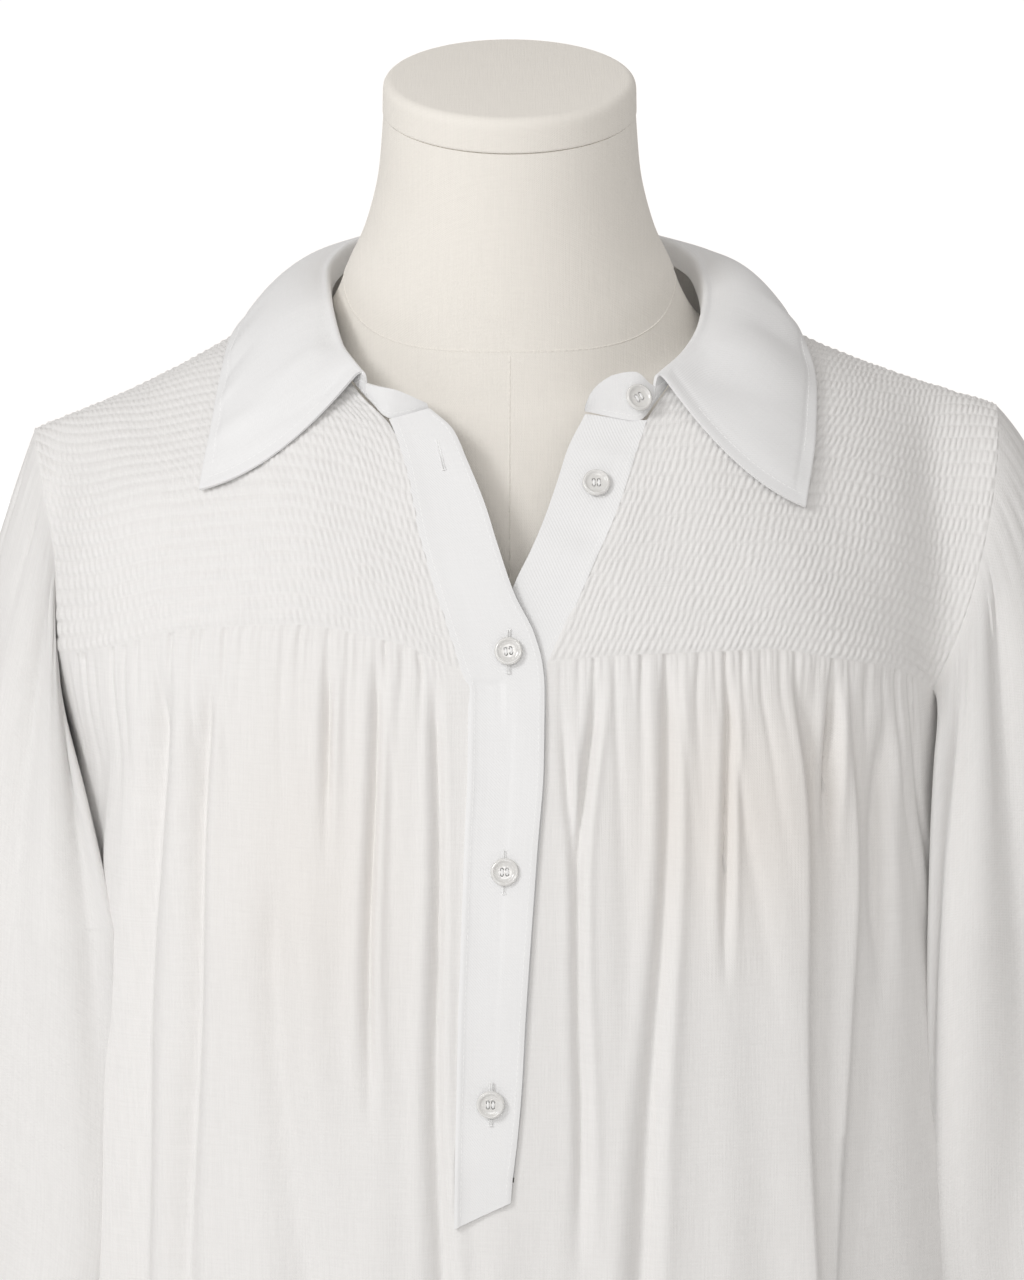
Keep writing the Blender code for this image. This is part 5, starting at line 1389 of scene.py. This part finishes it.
def buttonhole(centre, out, along, half=0.72, wide=0.075):
    """A slit bordered by close stitches."""
    out = unit(np.asarray(out, float))
    along = unit(along - out * (along @ out))
    across = np.cross(out, along)
    rods = []
    for t in np.arange(-half, half + 0.001, 0.055):
        for k in (-1, 1):
            p = centre + along * t
            rods.append(rod(p + across * k * 0.012 + out * 0.004,
                            p + across * k * wide + out * 0.0, 0.028, 5))
    for end in (-half, half):
        for k in np.linspace(-wide, wide, 5):
            p = centre + along * end + across * k
            rods.append(rod(p, p + along * math.copysign(0.06, end), 0.024, 5))
    return rods


# The dress form


def form_rings(count):
    table = np.array(FORM_RINGS)
    place = np.linspace(0, 1, len(table))
    at = np.linspace(0, 1, count)
    return np.stack([smooth(at, list(zip(place, column))) for column in table.T], axis=1), \
        np.interp(at, place, np.arange(len(table)))


def form_body():
    around, count = 160, 150
    turn = np.linspace(0, 2 * math.pi, around + 1)
    table, row = form_rings(count)
    rings = []
    for k, (half, side_z, fy, fz, by, bz, side_y) in enumerate(table):
        bend = 1.6 - 0.6 * ease((row[k] - 14) / 4)
        sine = np.sin(turn)
        reach = np.abs(sine)
        depth = np.where(sine < 0, fy - side_y, by - side_y)
        level = np.where(sine < 0, fz - side_z, bz - side_z)
        rings.append(join(half * np.cos(turn), side_y + depth * reach,
                          side_z + level * reach ** bend))
    point = np.array(rings)
    across = np.gradient(point, axis=1)
    across[:, 0] = across[:, -1] = (point[:, 1] - point[:, -2]) / 2
    out = unit(np.cross(across, np.gradient(point, axis=0)))
    out *= np.sign(np.sum(out[30] * (point[30] - point[30].mean(axis=0)), axis=1)).mean()
    form_seams(point, out)
    uv = np.stack([np.repeat((turn * 6.5)[None], count, 0), point[..., 2]], -1)
    part = patch(point, point - 0.4 * out, uv, (6, 6), rims={"top": None, "bottom": None})
    index = (around + 1) * count
    faces = [f for f in part[1] if max(f) < index]
    points = part[0][:index]
    caps = []
    for base, sign in ((0, -1), ((count - 1) * (around + 1), 1)):
        loop = list(range(base, base + around))
        caps.append(tuple(loop if sign > 0 else loop[::-1]))
    flip = faces[0][0] < faces[0][1]
    made = make("form_body", [(points, faces + (caps if flip else [c[::-1] for c in caps]),
                               part[2][:index])], JERSEY, ["form_body"])
    weld(made)
    tidy_normals(made)
    return made


NECK_SEAM_FRONT = -1.95    # height of the neck seam at the front
NECK_SEAM_RISE = 3.6       # how much higher it runs at the sides and behind


def form_seams(point, out):
    """The sewn seams of the form's cover, as slim ridges half sunk in it."""
    x, y, z = point[..., 0], point[..., 1], point[..., 2]
    level = NECK_SEAM_FRONT + NECK_SEAM_RISE * ease((y + 6.6) / 8.5)
    cols = np.arange(point.shape[1])
    above = z - level
    row = np.array([np.interp(0.0, above[:, c], np.arange(len(above))) for c in cols])
    low = np.clip(row.astype(int), 0, len(point) - 2)
    share = (row - low)[:, None]
    ring = blend(point[low, cols], point[low + 1, cols], share)
    ring_out = out[low, cols]
    chest = len(point) // 2
    middle = int(np.argmin(np.where(np.abs(x[chest]) < 3, y[chest], 99)))
    start = int(row[middle])
    line, line_out = point[:start + 1, middle], out[:start + 1, middle]
    rods = stitches(ring, ring_out, 0.30, 0.36, 0.055, 0.028)
    rods += stitches(line[chest // 2:], line_out[chest // 2:], 0.30, 0.36, 0.055, 0.028)
    bundle("form_seams", rods, JERSEY)


def tidy_normals(obj):
    shape = bmesh.new()
    shape.from_mesh(obj.data)
    bmesh.ops.recalc_face_normals(shape, faces=shape.faces[:])
    shape.to_mesh(obj.data)
    shape.free()
    obj.data.shade_smooth()
    obj.data.set_sharp_from_angle(angle=math.radians(55))


def lathe(name, profile, centre, axis, level, material, node, around=96):
    """Solid turned from (radius, height) pairs about an axis."""
    turn = np.linspace(0, 2 * math.pi, around + 1)
    aside = np.cross(level, axis)
    profile = np.array(profile)
    rings = np.array([centre + axis * h + r * (np.cos(turn)[:, None] * aside
                                               + np.sin(turn)[:, None] * level)
                      for r, h in profile])
    count = len(profile)
    index = np.arange(count * (around + 1)).reshape(count, around + 1)
    quads = np.stack([index[:-1, :-1], index[:-1, 1:], index[1:, 1:], index[1:, :-1]],
                     -1).reshape(-1, 4).tolist()
    faces = [tuple(q) for q in quads] + [tuple(index[0, :-1][::-1].tolist()),
                                         tuple(index[-1, :-1].tolist())]
    v = walked(rings)
    uv = np.stack([np.repeat((turn * profile[:, 0].max())[None], count, 0), v], -1)
    made = make(name, [(rings.reshape(-1, 3), faces, uv.reshape(-1, 2))], material, [node])
    weld(made)
    tidy_normals(made)
    return made


def form_cap():
    axis = np.array((0.0, -math.sin(CAP_TILT), math.cos(CAP_TILT)))
    level = np.array((0.0, math.cos(CAP_TILT), math.sin(CAP_TILT)))
    foot = np.array((0.0, -2.5, 7.75))
    profile = [(3.0, -0.02), (5.2, -0.02), (5.29, 0.0), (5.32, 0.05)]
    profile += [(5.32 - 0.02 * t, 0.12 + 0.88 * t) for t in np.linspace(0, 1, 10)]
    bend = np.linspace(0, math.pi / 2, 14)[1:]
    profile += [(4.9 + 0.39 * math.cos(a), 1.05 + 0.42 * math.sin(a)) for a in bend]
    profile += [(r, 1.47 + 0.16 * (1 - (r / 4.9) ** 2)) for r in np.linspace(4.6, 0.05, 22)]
    return lathe("form_cap", profile, foot, axis, level, JERSEY, "form_cap", 120)


def counter_stand():
    up, level = np.array((0.0, 0.0, 1.0)), np.array((0.0, 1.0, 0.0))
    floor = np.array((0.0, 0.0, -NECK_POINT))
    base = [(14.7, 0.0), (14.9, 0.03), (15.0, 0.15), (15.0, 0.9), (14.95, 1.05), (14.8, 1.15),
            (14.5, 1.2)]
    base += [(r, 1.2 + 0.1 * (1 - r / 14.5)) for r in np.linspace(13.5, 3.6, 14)]
    base += [(3.1, 1.33), (2.6, 1.45), (2.1, 1.65), (1.9, 1.9)]
    pole = [(1.15, 1.94), (1.2, 1.99)] + [(1.2, h) for h in np.linspace(3, NECK_POINT - 67.1, 10)]
    pole += [(1.35, NECK_POINT - 66.95), (2.4, NECK_POINT - 66.75), (2.58, NECK_POINT - 66.65),
             (2.6, NECK_POINT - 66.5), (2.6, NECK_POINT - 66.04)]
    return [lathe("stand_base", base, floor, up, level, STEEL, "stand_base"),
            lathe("stand_pole", pole, floor, up, level, STEEL, "stand_pole")]


# Build everything

form = form_body()
form_cap()
counter_stand()
yoke_right = front_yoke("yoke_front_right", ARM_EDGE_WEARER_RIGHT, OPEN_EDGE_WEARER_RIGHT,
                        -19, -4, 1.3, -0.3)
yoke_left = front_yoke("yoke_front_left", ARM_EDGE_WEARER_LEFT, OPEN_EDGE_WEARER_LEFT,
                       19, 4, 2.9, -0.35)
yoke_behind = back_yoke()
panel_front = front_panel()
panel_back = back_panel()
band_over, over_grid = placket_over()
band_under, under_grid = placket_under()
sleeve_r = sleeve("sleeve_right", -1, 0.0, 0.15, 41)
sleeve_l = sleeve("sleeve_left", 1, 1.0, 0.6, 57)
cuff_r = cuff("cuff_right", -1, 0.0)
cuff_l = cuff("cuff_left", 1, 1.0)
stand_collar, stand_grid = collar_stand()
leaf, leaf_grid = collar_leaf()


def front_spot(x, z):
    """A place on the front's outer face and the way it faces."""
    x, z = np.array(x), np.array(z)
    return join(x, front_y(x, z), z), front_normal(x, z)


COLLAR_BUTTON_SPOT = np.array((5.2, -8.19, -3.79))
COLLAR_BUTTON_FACING = unit(np.array((0.35, -0.85, 0.4)))
BUTTON_TURNS = {"button_band_second": 8, "button_collar": 25}      # degrees about its own axis

button = button_mesh()
thread_rods = []
for label, (bx, bz, lift) in BUTTON_PLACES.items():
    spot, facing = front_spot(bx, bz)
    if label == "button_collar":
        spot, facing = COLLAR_BUTTON_SPOT, COLLAR_BUTTON_FACING
    spot = spot + facing * (lift + 2 * GAP)
    thread_rods += place_button(label, button, spot, facing, BUTTON_TURNS.get(label, 0))[1]
for label, side, reach_out in (("button_cuff_right", -1, 0.0), ("button_cuff_left", 1, 1.0)):
    angle = math.radians(50.0)
    facing = unit(np.array((side * 4.1 * math.cos(angle), -2.8 * math.sin(angle), 0.0)))
    spot = np.array((side * (24.9 + reach_out + 2.8 * math.cos(angle)),
                     -2.55 - 4.1 * math.sin(angle), -63.0)) + facing * 0.06
    thread_rods += place_button(label, button, spot, facing)[1]
threads = bundle("button_thread", thread_rods, THREAD)

sewing = []
for grid, inset, side in ((over_grid, 0.28, "left"), (over_grid, 0.22, "right"),
                          (under_grid, 0.25, "right"), (leaf_grid, 0.50, "bottom"),
                          (leaf_grid, 0.50, "left"), (leaf_grid, 0.50, "right"),
                          (stand_grid, 0.22, "top")):
    line, facing = grid_line(grid, inset, side)
    trim = 14 if grid is leaf_grid and side == "bottom" else (26 if grid is leaf_grid else 3)
    kept = slice(trim, len(line) - (trim if side == "bottom" else 3))
    sewing += stitches(line[kept], facing[kept])
seams = bundle("seam_stitches", sewing, THREAD)

holes = []
for label in ("button_band_second", "button_band_third", "button_band_fourth"):
    bx, bz, lift = BUTTON_PLACES[label]
    spot, facing = front_spot(bx, bz)
    holes += buttonhole(spot + facing * (lift + 0.05), facing, np.array((0.02, 0.0, 1.0)), 0.86)
spot, facing = front_spot(-2.83, -6.0)
holes += buttonhole(spot + facing * (BAND_LIFT * 0.52 + 0.04), facing,
                    np.array((-0.18, 0.0, 1.0)), 0.66)
hole_stitches = bundle("buttonhole_stitches", holes, THREAD)


# Floor, backdrop, light and camera


def stage_material(name, colour, roughness=0.9, glow=0.0):
    made = bpy.data.materials.new(name)
    made.use_nodes = True
    shader = made.node_tree.nodes["Principled BSDF"]
    shader.inputs["Base Color"].default_value = (*colour, 1)
    shader.inputs["Roughness"].default_value = roughness
    shader.inputs["Emission Color"].default_value = (1, 1, 1, 1)
    seen = made.node_tree.nodes.new("ShaderNodeLightPath")
    level = math_node(made.node_tree, "MULTIPLY", seen.outputs["Is Camera Ray"], glow)
    made.node_tree.links.new(level, shader.inputs["Emission Strength"])
    return made


FLOOR_REACH = 6            # metres from the middle to an edge of the floor
FLOOR_TONE = (0.88, 0.88, 0.88)
FLOOR_GLOW = 0.75          # for the camera alone, so that no horizon shows
SKY_ON_OBJECT = 0.54
SKY_SEEN = 1.06
CAMERA_PLACE = (0.001, -2.273, 1.089)
CAMERA_TILT = 81.0         # degrees from straight down
CAMERA_LENS = 150.4        # millimetres on a 36 mm wide sensor

floor_mesh = bpy.data.meshes.new("floor")
corners = [(x * FLOOR_REACH, y * FLOOR_REACH, 0) for x, y in ((-1, -1), (1, -1), (1, 1), (-1, 1))]
floor_mesh.from_pydata(corners, [], [(0, 1, 2, 3)])
floor_mesh.materials.append(stage_material("pale_floor", FLOOR_TONE, glow=FLOOR_GLOW))
floor = bpy.data.objects.new("floor", floor_mesh)
bpy.context.scene.collection.objects.link(floor)
floor.location.z = -0.0005

world = bpy.data.worlds.new("studio")
bpy.context.scene.world = world
world.use_nodes = True
wt = world.node_tree
sky = wt.nodes["Background"]
sky.inputs["Color"].default_value = (1.0, 0.975, 0.955, 1)
path = wt.nodes.new("ShaderNodeLightPath")
level_node = wt.nodes.new("ShaderNodeMapRange")
level_node.inputs["To Min"].default_value = SKY_ON_OBJECT
level_node.inputs["To Max"].default_value = SKY_SEEN
wt.links.new(path.outputs["Is Camera Ray"], level_node.inputs["Value"])
wt.links.new(level_node.outputs[0], sky.inputs["Strength"])


def area_light(name, place, target, size, energy, colour=(1, 1, 1)):
    data = bpy.data.lights.new(name, "AREA")
    data.shape = "RECTANGLE"
    data.size, data.size_y = size
    data.energy = energy
    data.color = colour
    made = bpy.data.objects.new(name, data)
    bpy.context.scene.collection.objects.link(made)
    made.location = place
    made.rotation_euler = (Vector(target) - Vector(place)).to_track_quat("-Z", "Y").to_euler()
    return made


area_light("key", (-1.6, -1.85, 2.05), (0, 0, 0.84), (0.8, 0.8), 25.0, (0.985, 0.99, 1.0))
area_light("front_fill", (-0.3, -2.9, 1.6), (0, 0, 0.86), (1.2, 1.0), 15.0, (1.0, 0.995, 0.99))

scene = bpy.context.scene
scene.view_settings.view_transform = "Standard"
camera_data = bpy.data.cameras.new("camera")
camera_data.sensor_fit = "AUTO"
camera_data.sensor_width = 36.0
camera_data.lens = CAMERA_LENS
camera = bpy.data.objects.new("camera", camera_data)
scene.collection.objects.link(camera)
camera.location = CAMERA_PLACE
camera.rotation_euler = (math.radians(CAMERA_TILT), 0.0, 0.0)
scene.camera = camera
